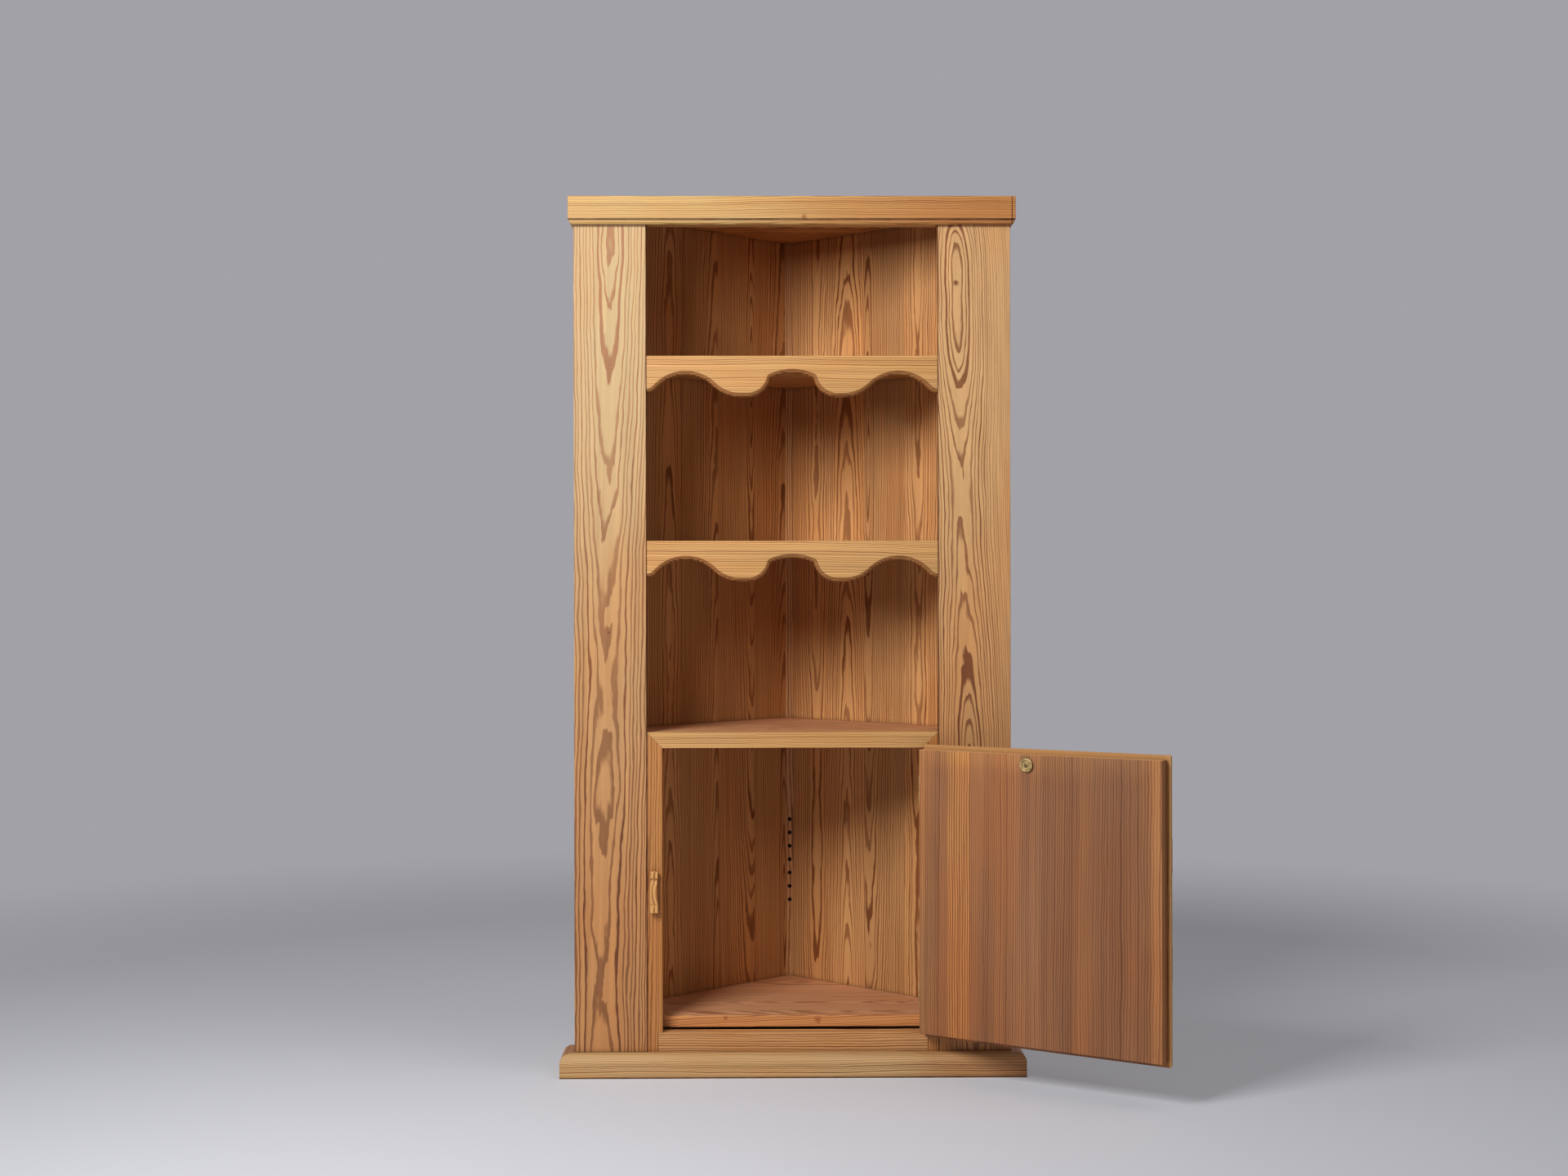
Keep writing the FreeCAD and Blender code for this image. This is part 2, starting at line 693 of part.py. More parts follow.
# The door, measured from the hinge pin with the door shut
door_bottom = d.bottom_rail_top + d.door_gap
door_top = opening_top - d.door_gap
door_middle = (door_bottom + door_top) / 2
hinge_edge = half_opening - d.hinge_gap - pivot_x
free_edge = -half_opening + d.door_gap - pivot_x
lip_edge = free_edge - d.lip_width
lip_back = -d.face_gap - pivot_y
door_face = lip_back - d.lip_thickness
door_inside = lip_back + d.door_thickness


def hinge_levels():
    """Levels of the two hinges' middles."""
    return (door_bottom + d.hinge_end_distance, door_top - d.hinge_end_distance)


def screw_levels():
    """Levels of all the hinge screws of one leaf side."""
    half = d.leaf_screw_spacing / 2
    return [level + half * way for level in hinge_levels() for way in (-1, 1)]


def make_door():
    """The door: a panel that fits the opening, with a thin lip round three edges."""
    body = new_body("door_panel")
    slab = rectangle(lip_edge, hinge_edge, door_face, lip_back)
    height = door_top - door_bottom
    extrude(
        body, "lip", "XY_Plane", door_bottom - d.lip_width, height + d.lip_width * 2, [slab]
    )
    fillet(
        body, "lip_corners", d.lip_corner,
        lambda e: lies(e, x=lip_edge)
        and (lies(e, z=door_bottom - d.lip_width) or lies(e, z=door_top + d.lip_width)),
    )
    chamfer(
        body, "lip_edge", d.lip_bevel,
        lambda e: lies(e, y=door_face) and not lies(e, x=hinge_edge),
    )
    panel = rectangle(free_edge, hinge_edge, lip_back, door_inside)
    extrude(body, "panel", "XY_Plane", door_bottom, height, [panel])
    fillet(
        body, "arris", d.arris,
        lambda e: lies(e, y=door_inside),
    )
    depth_line = d.leaf_depth / 2 + d.knuckle_radius
    screws = [(depth_line, level, d.screw_radius + d.screw_play) for level in screw_levels()]
    extrude(
        body, "hinge_screw_holes", "YZ_Plane", hinge_edge - d.screw_length,
        d.screw_length, [], screws, cut=True,
    )
    dowels = [(pull_middle, level, d.dowel_radius + d.screw_play) for level in dowel_levels()]
    extrude(
        body, "dowel_holes", "XZ_Plane", door_face, d.dowel_depth + d.screw_play,
        [], dowels, cut=True,
    )
    screw = [(-d.plate_from_hinge, plate_level, d.screw_radius + d.screw_play)]
    extrude(
        body, "plate_screw_hole", "XZ_Plane", door_inside - d.screw_length,
        d.screw_length, [], screw, cut=True,
    )
    hang_on_door(body)


plate_level = door_top - d.plate_drop
pull_outer = lip_edge + d.pull_edge_distance
pull_inner = pull_outer + d.pull_width
pull_middle = (pull_outer + pull_inner) / 2
grip_half = d.pull_length / 2 - d.pull_foot


def dowel_levels():
    """Levels of the two dowels, one in the middle of each foot of the pull."""
    reach = (d.pull_length - d.pull_foot) / 2
    return (door_middle - reach, door_middle + reach)


def make_pull():
    """The carved pull: two feet near the door's free edge and a waisted, scooped grip."""
    body = new_body("door_pull")
    top, bottom = door_middle + d.pull_length / 2, door_middle - d.pull_length / 2
    high, low = door_middle + grip_half, door_middle - grip_half
    front = door_face - d.pull_projection
    gap = door_face - d.pull_finger_gap
    side_view = [
        (door_face, top),
        (front, top),
        (front, bottom),
        (door_face, bottom),
        (door_face, low, d.pull_finger_gap, -1),
        (gap, low + d.pull_finger_gap),
        (gap, high - d.pull_finger_gap, d.pull_finger_gap, -1),
        (door_face, high),
    ]
    extrude(body, "feet_and_grip", "YZ_Plane", pull_outer, d.pull_width, [side_view])
    waists = [
        [(pull_outer, low, sagitta_radius(grip_half, d.pull_waist_outer), 1), (pull_outer, high)],
        [(pull_inner, high, sagitta_radius(grip_half, d.pull_waist_inner), 1), (pull_inner, low)],
    ]
    extrude(body, "waist", "XZ_Plane", front, d.pull_projection, waists, cut=True)
    chamfer(body, "bevelled_front", d.pull_bevel, lambda e: lies(e, y=front))
    holes = [(pull_middle, level, d.dowel_radius + d.screw_play) for level in dowel_levels()]
    depth = d.dowel_depth + d.screw_play
    extrude(body, "dowel_holes", "XZ_Plane", door_face - depth, depth, [], holes, cut=True)
    hang_on_door(body)


def make_dowels():
    """The two hidden dowels between the pull and the door."""
    body = new_body("pull_dowels")
    body.AllowCompound = True
    lower, upper = dowel_levels()
    circle = [(pull_middle, lower, d.dowel_radius)]
    start = door_face - d.dowel_depth
    dowel = extrude(body, "dowel", "XZ_Plane", start, d.dowel_depth * 2, [], circle)
    repeat(body, "pair", dowel, (upper - lower, 2))
    hang_on_door(body)


def make_plate():
    """The dished brass plate inside the door, turned about its own axis."""
    body = new_body("catch_plate")
    inner = d.plate_radius - d.plate_rim
    hole = d.screw_radius + d.screw_play
    outline = [
        (hole, ZERO),
        (d.plate_radius, ZERO),
        (d.plate_radius, d.plate_thickness),
        (inner, d.plate_thickness),
        (inner - d.plate_bevel, d.plate_web),
        (hole, d.plate_web),
    ]
    turn(body, "dish", "XY_Plane", outline)
    hang_on_door(body, -d.plate_from_hinge, door_inside, plate_level)


def make_plate_screw():
    """The round-headed screw of the brass plate, with a cross in its head."""
    body = new_body("catch_plate_screw")
    end = d.plate_web - d.screw_length
    crown = d.plate_web + d.plate_screw_rise
    outline = [
        (ZERO, end),
        (d.screw_radius, end),
        (d.screw_radius, d.plate_web),
        (d.plate_screw_head, d.plate_web),
        (d.plate_screw_head - d.plate_screw_rise, crown),
        (ZERO, crown),
    ]
    turn(body, "screw", "XY_Plane", outline)
    half = d.recess_width / 2
    reach = d.plate_screw_head - d.plate_screw_rise - d.recess_width / 2
    arms = [
        (-half, -reach),
        (half, -reach),
        (half, -half),
        (reach, -half),
        (reach, half),
        (half, half),
        (half, reach),
        (-half, reach),
        (-half, half),
        (-reach, half),
        (-reach, -half),
        (-half, -half),
    ]
    bottom = d.plate_web + d.plate_screw_rise / 2
    extrude(body, "cross", "XZ_Plane", bottom, d.plate_screw_rise, [arms], cut=True)
    hang_on_door(body, -d.plate_from_hinge, door_inside, plate_level)


def knuckle_spans():
    """Heights of a hinge's three knuckles from its middle, as (low, high)."""
    third = d.leaf_length / 3
    half = d.leaf_length / 2
    gap = d.knuckle_gap / 2
    return (
        (-half, -half + third - gap),
        (-half + third + gap, half - third - gap),
        (half - third + gap, half),
    )


def make_leaf(name, spans, plate_x):
    """A hinge leaf with its knuckles about the pin: plate, webs, barrels, bore and screw holes."""
    body = new_body(name)
    half = d.leaf_length / 2
    near = d.knuckle_radius + d.knuckle_gap * 2
    x0, x1 = plate_x
    plate = rectangle(x0, x1, near, near + d.leaf_depth)
    extrude(body, "plate", "XY_Plane", -half, d.leaf_length, [plate])
    for n, (low, high) in enumerate(spans):
        web = rectangle(x0, x1, ZERO, near)
        extrude(body, f"web_{n}", "XY_Plane", low, high - low, [web])
        barrel = [(ZERO, ZERO, d.knuckle_radius)]
        extrude(body, f"barrel_{n}", "XY_Plane", low, high - low, [], barrel)
    bore = [(ZERO, ZERO, d.pin_radius + d.running_clearance)]
    extrude(body, "pin_bore", "XY_Plane", -half, d.leaf_length, [], bore, cut=True)
    line = d.leaf_depth / 2 + d.knuckle_radius
    level = d.leaf_screw_spacing / 2
    holes = [(line, level * way, d.screw_head_radius) for way in (-1, 1)]
    extrude(body, "screw_holes", "YZ_Plane", x0, d.leaf_thickness, [], holes, cut=True)
    return body


def make_hinges():
    """Two brass butt hinges: leaves on the frame and on the door, and a headed pin each."""
    low_span, middle_span, high_span = knuckle_spans()
    frame_x = (-d.pivot_side - d.leaf_thickness, -d.pivot_side)
    door_x = (hinge_edge, hinge_edge + d.leaf_thickness)
    for name, level in zip(("lower", "upper"), hinge_levels()):
        leaf = make_leaf(f"{name}_hinge_frame_leaf", (low_span, high_span), frame_x)
        place(leaf, pivot_x, pivot_y, level)
        leaf = make_leaf(f"{name}_hinge_door_leaf", (middle_span,), door_x)
        hang_on_door(leaf, z=level)
        pin = new_body(f"{name}_hinge_pin")
        half = d.leaf_length / 2
        head = half + d.pin_head_height
        outline = [
            (ZERO, -head),
            (d.pin_head_radius, -head),
            (d.pin_head_radius, -half),
            (d.pin_radius, -half),
            (d.pin_radius, half),
            (d.pin_head_radius, half),
            (d.pin_head_radius, head),
            (ZERO, head),
        ]
        turn(pin, "pin", "XZ_Plane", outline)
        place(pin, pivot_x, pivot_y, level)


def make_screw_set(name, head_x, way):
    """One leaf side's four screws with sunk flat heads, driven along X from the leaf's face."""
    body = new_body(name)
    body.AllowCompound = True
    head = d.screw_head_radius - d.screw_play
    shank = d.screw_radius - d.screw_play
    sunk = d.leaf_thickness
    end = d.screw_length - d.screw_play
    line = d.leaf_depth / 2 + d.knuckle_radius
    lower, upper = hinge_levels()
    level = lower - d.leaf_screw_spacing / 2
    outline = [
        (head_x, level),
        (head_x + way * end, level),
        (head_x + way * end, level + shank),
        (head_x + way * sunk, level + shank),
        (head_x + way * sunk, level + head),
        (head_x, level + head),
    ]
    sketch = draw(body, "screw", "XZ_Plane", line, [outline])
    axis = sketch.addGeometry(
        Part.LineSegment(
            FreeCAD.Vector(head_x.value, level.value, 0),
            FreeCAD.Vector((head_x + way * end).value, level.value, 0),
        ),
        True,
    )
    for point, wanted in ((1, outline[0]), (2, outline[1])):
        bind(sketch, "DistanceX", (axis, point), wanted[0])
        bind(sketch, "DistanceY", (axis, point), wanted[1])
    screw = body.newObject("PartDesign::Revolution", f"{name}_screw")
    screw.Profile = sketch
    screw.ReferenceAxis = (sketch, ["Axis0"])
    screw.Angle = FULL_TURN
    body.Tip = screw
    doc.recompute()
    repeat(body, "set", screw, (d.leaf_screw_spacing, 2), (upper - lower, 2))
    return body


def make_hinge_screws():
    """The flush screws of the hinges, four in the frame and four in the door."""
    frame = make_screw_set("hinge_frame_screws", -d.pivot_side - d.leaf_thickness, 1)
    place(frame, pivot_x, pivot_y)
    door = make_screw_set("hinge_door_screws", hinge_edge + d.leaf_thickness, -1)
    hang_on_door(door)


# The turn button, which swings in front of the closed door's lip
button_back = d.face_gap + d.lip_thickness + d.button_lift


def make_button_peg():
    """The turned peg that the button is glued to: it turns in the frame, with a collar."""
    body = new_body("button_peg")
    tip = button_back + d.peg_spigot
    outline = [
        (ZERO, d.peg_depth),
        (d.peg_radius, d.peg_depth),
        (d.peg_radius, -d.button_play),
        (d.peg_collar_radius, -d.button_play),
        (d.peg_collar_radius, -button_back),
        (d.peg_radius, -button_back),
        (d.peg_radius, -tip),
        (ZERO, -tip),
    ]
    turn(body, "peg", "XY_Plane", outline)
    place(body, -half_opening - d.button_side, ZERO, d.button_level)


def make_button():
    """The carved turn button: raised ends, hollows behind them and a crowned middle."""
    body = new_body("turn_button")
    half = d.button_length / 2
    block = half - d.button_block
    ledge = block - d.button_ledge
    back = -button_back
    front = back - d.button_thickness
    hollow = front + d.button_hollow
    crown = sagitta_radius(ledge, d.button_crown)
    outline = [
        (back, half),
        (front, half),
        (front, block),
        (hollow, ledge, crown, 1),
        (hollow, -ledge),
        (front, -block),
        (front, -half),
        (back, -half),
    ]
    extrude(body, "block", "YZ_Plane", -d.button_width / 2, d.button_width, [outline])
    fillet(
        body, "round_edges", d.button_round,
        lambda e: lies(e, y=front) and e.BoundBox.ZLength > PICK
        or lies(e, y=front, z=half) or lies(e, y=front, z=-half),
    )
    bore = [(ZERO, ZERO, d.peg_radius + d.screw_play)]
    depth = d.peg_spigot + d.screw_play
    extrude(body, "peg_bore", "XZ_Plane", -button_back - depth, depth, [], bore, cut=True)
    place(body, -half_opening - d.button_side, ZERO, d.button_level)


def make_everything():
    for side, sign in both_sides():
        make_stile(side, sign)
        make_return(side, sign)
        make_wall(side, sign)
    make_post()
    make_top()
    make_header()
    make_moulding(
        "cornice", cornice_profile, d.cornice_projection, cornice_foot,
        d.cabinet_height - cornice_foot,
    )
    make_moulding("plinth", plinth_profile, d.plinth_projection, ZERO, d.plinth_height)
    make_boards()
    make_apron("upper", upper_shelf_top)
    make_apron("lower", lower_shelf_top)
    make_frame()
    make_door()
    make_pull()
    make_dowels()
    make_plate()
    make_plate_screw()
    make_hinges()
    make_hinge_screws()
    make_button_peg()
    make_button()


def check_and_export():
    """Refuse any failed object or bad solid, then write one file for each sub-part."""
    doc.recompute()
    for item in doc.Objects:
        if any(word in ("Invalid", "Error") for word in item.State):
            raise RuntimeError(f"{item.Label} failed: {item.State}")
    for item in made:
        shape = item.Shape
        if shape.isNull() or not shape.isValid() or not shape.Solids:
            raise RuntimeError(f"{item.Label} is not a valid solid")
        shape.exportStep(f"parts/{item.Label}.step")
        print(item.Label, len(shape.Solids), round(shape.Volume / 1000, 2))


make_everything()
check_and_export()
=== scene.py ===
from collections import namedtuple
from math import radians, sin, cos

import bpy
import bmesh
import numpy as np
from mathutils import Matrix, Vector


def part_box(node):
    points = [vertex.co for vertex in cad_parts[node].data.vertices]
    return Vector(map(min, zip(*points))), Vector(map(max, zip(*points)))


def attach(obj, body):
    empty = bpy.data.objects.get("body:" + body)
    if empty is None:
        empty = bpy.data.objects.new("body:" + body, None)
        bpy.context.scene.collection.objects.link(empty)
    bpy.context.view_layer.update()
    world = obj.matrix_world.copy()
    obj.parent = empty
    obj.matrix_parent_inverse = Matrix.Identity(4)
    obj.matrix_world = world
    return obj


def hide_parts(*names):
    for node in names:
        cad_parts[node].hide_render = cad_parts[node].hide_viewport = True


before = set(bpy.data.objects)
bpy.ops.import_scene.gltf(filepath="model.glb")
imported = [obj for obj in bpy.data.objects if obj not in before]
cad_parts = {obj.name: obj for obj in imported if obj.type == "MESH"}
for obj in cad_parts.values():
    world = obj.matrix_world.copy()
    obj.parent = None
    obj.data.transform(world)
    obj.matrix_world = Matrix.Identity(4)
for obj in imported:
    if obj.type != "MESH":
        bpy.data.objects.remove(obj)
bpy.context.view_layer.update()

bl_info = {
    "name": "Corner cabinet in waxed pine",
    "version": (1, 0, 0),
    "blender": (4, 5, 0),
    "location": "3D View > Sidebar > Cabinet",
    "description": "Finishes the packed corner cabinet in pine and brass, and sets it in a studio",
    "category": "Object",
}


# Places on the cabinet, in metres

DOOR_OPEN = radians(146)
DOOR_TURN = DOOR_OPEN - radians(180)
HINGE_PIN = Vector((0.282, -0.0033, 0))
STILE_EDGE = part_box("right_stile")[0].x
RAIL_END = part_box("frame_bottom_rail")[1].x

# The row of pin holes in the corner post: its middle level, its pitch and where the painted
# shade of its holes ends
PIN_LEVEL, PIN_PITCH, PIN_BACK = 0.399, 0.032, 0.530

# The catch plate's middle, out from the hinge pin and up, and the inner face of the shut door
PLATE_OUT, PLATE_LEVEL, DOOR_FACE = 0.261, 0.680, 0.027

# Where the apron's edge turns, in shares of its half width: the corner of the middle arch, the
# two ends of the lobe's foot and the top of the side arch
KNEE, LOBE_START, LOBE_END, SIDE_ARCH = 0.1465, 0.309, 0.357, 0.729


# Woods and finishes

# Where the log of a board lies: the way its grain runs, the heart of the log, how the heart
# leans along the board in radians, the width of a year ring, how far the heart wanders, the
# finish, and the width of a stave in a glued-up panel. Lengths are in metres.
Log = namedtuple("Log", "run heart lean ring wander finish stave", defaults=(0,))

RUNS = {
    "up": Matrix.Identity(3),
    "across": Matrix(((0, 0, 1), (1, 0, 0), (0, 1, 0))),
    "back": Matrix(((1, 0, 0), (0, 0, 1), (0, -1, 0))),
    "left_wall": Matrix.Rotation(radians(45), 3, "Z"),
    "right_wall": Matrix.Rotation(radians(-45), 3, "Z"),
    "door": Matrix.Rotation(DOOR_TURN, 3, "Z"),
}

LOGS = {
    "left_stile": Log("up", (-0.402, 0.056, 0.95), (0.004, 0.014), 0.0094, 0.010, "sunned"),
    "right_stile": Log("up", (0.372, 0.0288, 0.95), (-0.075, -0.024), 0.0086, 0.007, "bronzed"),
    "left_side_return": Log("up", (-0.52, 0.05, 0.3), (0.01, 0.01), 0.0045, 0.006, "honey"),
    "right_side_return": Log("up", (0.53, 0.03, 0.7), (0.01, 0.01), 0.0045, 0.006, "honey"),
    "left_wall_panel": Log("left_wall", (0, 0.5248, 0.95), (0, 0), 0.0044, 0.006, "inner", 0.118),
    "right_wall_panel": Log("right_wall", (0.8627, -0.3379, 0.8), (0, 0), 0.0046, 0.006, "inner", 0.122),
    "corner_post": Log("up", (0.02, 0.56, 0.4), (0.01, 0.008), 0.0036, 0.004, "inner"),
    "top_board": Log("across", (0.3, 0.30, 1.80), (0, 0), 0.0032, 0.006, "inner", 0.110),
    "header_rail": Log("across", (0.1, 0.09, 1.74), (0.01, 0.004), 0.0034, 0.005, "inner"),
    "cornice_front": Log("across", (0.15, 0.05, 1.93), (0.004, 0.010), 0.0030, 0.005, "cornice"),
    "cornice_left": Log("back", (-0.53, 0.2, 1.93), (0.004, 0.006), 0.0032, 0.005, "honey"),
    "cornice_right": Log("back", (0.53, 0.5, 1.93), (0.004, 0.006), 0.0032, 0.005, "honey"),
    "plinth_front": Log("across", (0.4, 0.05, 0.11), (0.005, 0.006), 0.0030, 0.005, "worn"),
    # The plinth's left end takes the darker tawny finish as painted shade on that side
    "plinth_left": Log("back", (-0.56, 0.2, 0.09), (0.004, 0.006), 0.0030, 0.005, "tawny"),
    "plinth_right": Log("back", (0.56, 0.6, 0.09), (0.004, 0.006), 0.0030, 0.005, "worn"),
    "upper_shelf": Log("across", (0.9, 0.25, 1.54), (0, 0), 0.0038, 0.006, "inner", 0.112),
    "lower_shelf": Log("across", (1.7, 0.21, 1.14), (0, 0), 0.0038, 0.006, "inner", 0.104),
    "cupboard_top": Log("across", (2.2, 0.23, 0.73), (0, 0), 0.0038, 0.006, "board", 0.116),
    "cupboard_floor": Log("across", (2.9, 0.20, 0.11), (0, 0), 0.0040, 0.006, "board", 0.108),
    "upper_apron": Log("across", (0.7, 0.07, 1.62), (0.008, 0.006), 0.0028, 0.005, "honey"),
    "lower_apron": Log("across", (1.9, 0.08, 1.22), (0.008, -0.006), 0.0028, 0.005, "honey"),
    "frame_top_rail": Log("across", (1.2, 0.05, 0.79), (0.006, 0.006), 0.0030, 0.005, "honey"),
    "frame_bottom_rail": Log("across", (0.5, 0.05, 0.15), (0.004, 0.008), 0.0046, 0.006, "inner"),
    "frame_left_member": Log("up", (-0.33, 0.05, 0.2), (0.006, 0.006), 0.0036, 0.006, "amber"),
    "frame_right_member": Log("up", (0.34, 0.05, 0.8), (0.006, 0.006), 0.0036, 0.006, "amber"),
    "door_panel": Log("door", (0.69, -1.36, 0), (0.002, 0.004), 0.0036, 0.004, "door"),
    "door_pull": Log("up", (0.70, -0.36, 0.2), (0.006, 0.004), 0.0030, 0.005, "tawny"),
    "pull_dowels": Log("up", (0.70, -0.36, 0.5), (0.006, 0.004), 0.0030, 0.005, "tawny"),
    "turn_button": Log("up", (-0.33, 0.05, 0.3), (0.01, 0.01), 0.0034, 0.004, "honey"),
    "button_peg": Log("back", (-0.31, 0.3, 0.42), (0.01, 0.01), 0.0028, 0.004, "orange"),
}

# Where the heart of a log swells towards the face: how far, at what level, and over what
# length, in metres
SWELLS = {"left_stile": (0.032, 1.98, 0.60), "right_stile": (0.072, 1.73, 0.32)}

# How much closer the rings lie away from the heart, in rings per square metre, and how much
# of the late wood's strength is left there
TIGHTER = {"left_stile": (330.0, 0.90), "right_stile": (760.0, 0.60)}

# Ripples in the rings: waves per metre across, deep and along the grain, and how many rings
# they shift it by
RIPPLES = (((12.0, 12.0, 3.0), 2.2), ((60.0, 60.0, 13.0), 1.0))

# Waves per metre of the fibres, the streaks and the slow changes of colour
FIBRES, STREAKS, CLOUDS = (900.0, 900.0, 14.0), (95.0, 95.0, 1.9), (9.0, 9.0, 2.6)

# How strongly streaks lighten and darken a board, and how ragged a fade is, as a share of it
SWING, DOOR_SWING, RAGGED = 0.5, 0.25, 0.2

# The early and the late wood of each finish, in red, green and blue from 0 to 255 as on a
# colour chart, and where it lies
FINISHES = {
    "sunned": ((190, 162, 117), (152, 98, 60), "the left stile's upper part"),
    "bronzed": ((208, 162, 110), (122, 67, 37), "the right stile's upper part"),
    "tawny": ((189, 133, 82), (94, 46, 24), "the stiles' lower parts, plinth's ends and pull"),
    "cornice": ((198, 164, 105), (150, 100, 52), "the cornice's left end"),
    "honey": ((208, 161, 101), (140, 84, 42), "the aprons, top rail, sides and turn button"),
    "amber": ((188, 128, 71), (142, 84, 38), "the frame's members and the cornice's right end"),
    "worn": ((207, 168, 116), (128, 84, 48), "the plinth"),
    "inner": ((205, 151, 96), (119, 65, 32), "the walls, post, shelves and bottom rail"),
    "board": ((213, 156, 114), (165, 109, 73), "the cupboard's top and floor"),
    "orange": ((226, 154, 90), (170, 97, 46), "the front edges of the cupboard's top and floor"),
    "door": ((154, 105, 69), (117, 73, 48), "the door"),
}

# Finishes that change along a board: the second finish, the axis, and where the change
# starts and ends along it, in metres
FADES = {
    # The stiles turn darker towards the bottom
    "sunned": ("tawny", 2, 1.80, 0.25),
    "bronzed": ("tawny", 2, 1.60, 0.10),
    "cornice": ("amber", 0, -0.30, 0.42),
    "board": ("orange", 1, 0.045, 0.035),
    "worn": ("tawny", 0, 0.16, 0.56),
}

# Dark lines: a direction, how far along it the line lies and how wide it is, in metres, and the
# boards that it is on. Most are joints where wax and dust have gathered. The line across the stiles
# just under the cornice, the line in the cornice's groove and the line at the cornice front's right
# end are painted shade, and the line at the plinth's foot is a plain dark line.
SIDEWAYS, UPWARD = (1, 0, 0), (0, 0, 1)
DARK_LINES = (
    (SIDEWAYS, -STILE_EDGE, 0.0022, ("left_stile",)),
    (SIDEWAYS, STILE_EDGE, 0.0016, ("right_stile",)),
    # A painted shadow line across the stiles just under the cornice
    (UPWARD, 1.8300, 0.0060, ("left_stile", "right_stile")),
    (UPWARD, 0.0510, 0.0014, ("left_stile",)),
    (SIDEWAYS, -STILE_EDGE, 0.0034, ("frame_left_member",)),
    (SIDEWAYS, STILE_EDGE, 0.0018, ("frame_right_member",)),
    (SIDEWAYS, -STILE_EDGE, 0.0016, ("upper_apron", "lower_apron")),
    (SIDEWAYS, STILE_EDGE, 0.0016, ("upper_apron", "lower_apron")),
    (SIDEWAYS, -RAIL_END, 0.0014, ("frame_bottom_rail",)),
    (SIDEWAYS, RAIL_END, 0.0014, ("frame_bottom_rail",)),
    ((1.03, 0, 1), 0.4144, 0.0010, ("frame_top_rail",)),
    ((-1.03, 0, 1), 0.4144, 0.0012, ("frame_top_rail",)),
    (UPWARD, 0.0010, 0.0030, ("plinth_front", "plinth_left", "plinth_right")),
    # Painted shade: a line in the cornice's groove, and the cornice's shaded right end seen edge-on
    (UPWARD, 1.8400, 0.0030, ("cornice_front", "cornice_left", "cornice_right")),
    (SIDEWAYS, 0.4735, 0.0016, ("cornice_front",)),
)

# Knots and flecks: the board, the middle of the knot and its radius, in metres
KNOTS = (
    ("cupboard_floor", (0.054, 0.037, 0.112), 0.0075),
    ("cupboard_floor", (-0.146, 0.037, 0.116), 0.0045),
    ("cornice_front", (0.026, -0.011, 1.845), 0.0060),
    ("left_stile", (-0.395, 0.0, 0.953), 0.0050),
    ("right_stile", (0.353, 0.0, 1.705), 0.0060),
)

# The hinges, their screws, the catch plate and its screw: all that isn't cut from a log
BRASS_NODES = [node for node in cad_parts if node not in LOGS]


# Sizes and colours that a user would change

def paint(red, green, blue):
    """A colour chart's red, green and blue from 0 to 255 as the linear colour that Blender mixes."""
    share = np.array([red, green, blue]) / 255
    straight = np.where(share <= 0.04045, share / 12.92, ((share + 0.055) / 1.055) ** 2.4)
    return tuple(float(part) for part in straight)


def wood_settings():
    """A setting for the early wood and one for the late wood of each finish."""
    settings = {}
    for finish, (early, late, where) in FINISHES.items():
        for part, wood, chart in (("pale", "early wood", early), ("late", "late wood", late)):
            settings[f"{finish}_{part}"] = bpy.props.FloatVectorProperty(
                name=f"{finish.capitalize()} {wood}", subtype="COLOR", default=paint(*chart),
                description=f"{wood.capitalize()} of {where}")
    return settings


class CabinetFinishes(bpy.types.PropertyGroup):
    """The two colours of each finish, early and late wood, how worn the surfaces are, and how much
    painted highlight and painted shade their edges and corners take.
    """

    late_share: bpy.props.FloatProperty(
        name="Late wood share", description="How much of a year ring is late wood",
        default=0.42, min=0.1, max=0.7, subtype="FACTOR")
    # Lightens the edges: partly rubbed wear, partly a painted highlight on the arrises
    edge_wear_and_highlight: bpy.props.FloatProperty(
        name="Edge wear", description="How much paler the rubbed edges are",
        default=0.35, min=0, max=1, subtype="FACTOR")
    # Darkens the corners that ambient occlusion finds: partly grime, partly painted shade where little
    # light reaches
    grime_and_shade: bpy.props.FloatProperty(
        name="Grime", description="How dark wax and dust have made the joints and corners",
        default=0.75, min=0, max=1, subtype="FACTOR")
    brass: bpy.props.FloatVectorProperty(
        name="Brass", description="Polished brass of the plate and hinges",
        subtype="COLOR", default=paint(192, 166, 110))
    tarnish: bpy.props.FloatVectorProperty(
        name="Tarnish", description="Brass that has gone dull",
        subtype="COLOR", default=paint(146, 118, 70))
    dark_brass: bpy.props.FloatVectorProperty(
        name="Dark brass", description="The darkest brass of the plate's screw",
        subtype="COLOR", default=paint(78, 60, 38))


CabinetFinishes.__annotations__.update(wood_settings())


class CabinetAprons(bpy.types.PropertyGroup):
    """The drops of the shaped aprons, measured down from the shelf's top."""

    end_drop: bpy.props.FloatProperty(
        name="End drop", description="Depth where the apron meets the stile",
        default=0.079, min=0.03, max=0.12, unit="LENGTH")
    arch_drop: bpy.props.FloatProperty(
        name="Side arch drop", description="Depth at the top of each side arch",
        default=0.0405, min=0.02, max=0.08, unit="LENGTH")
    lobe_drop: bpy.props.FloatProperty(
        name="Lobe drop", description="Full depth, at the two lobes",
        default=0.088, min=0.03, max=0.12, unit="LENGTH")
    centre_drop: bpy.props.FloatProperty(
        name="Middle arch drop", description="Depth at the top of the middle arch",
        default=0.0365, min=0.02, max=0.08, unit="LENGTH")
    knee_drop: bpy.props.FloatProperty(
        name="Corner drop", description="Depth at the corners of the middle arch",
        default=0.047, min=0.02, max=0.1, unit="LENGTH")
    edge_round: bpy.props.FloatProperty(
        name="Edge round", description="Radius of the rounded lower front edge",
        default=0.009, min=0.001, max=0.012, unit="LENGTH")


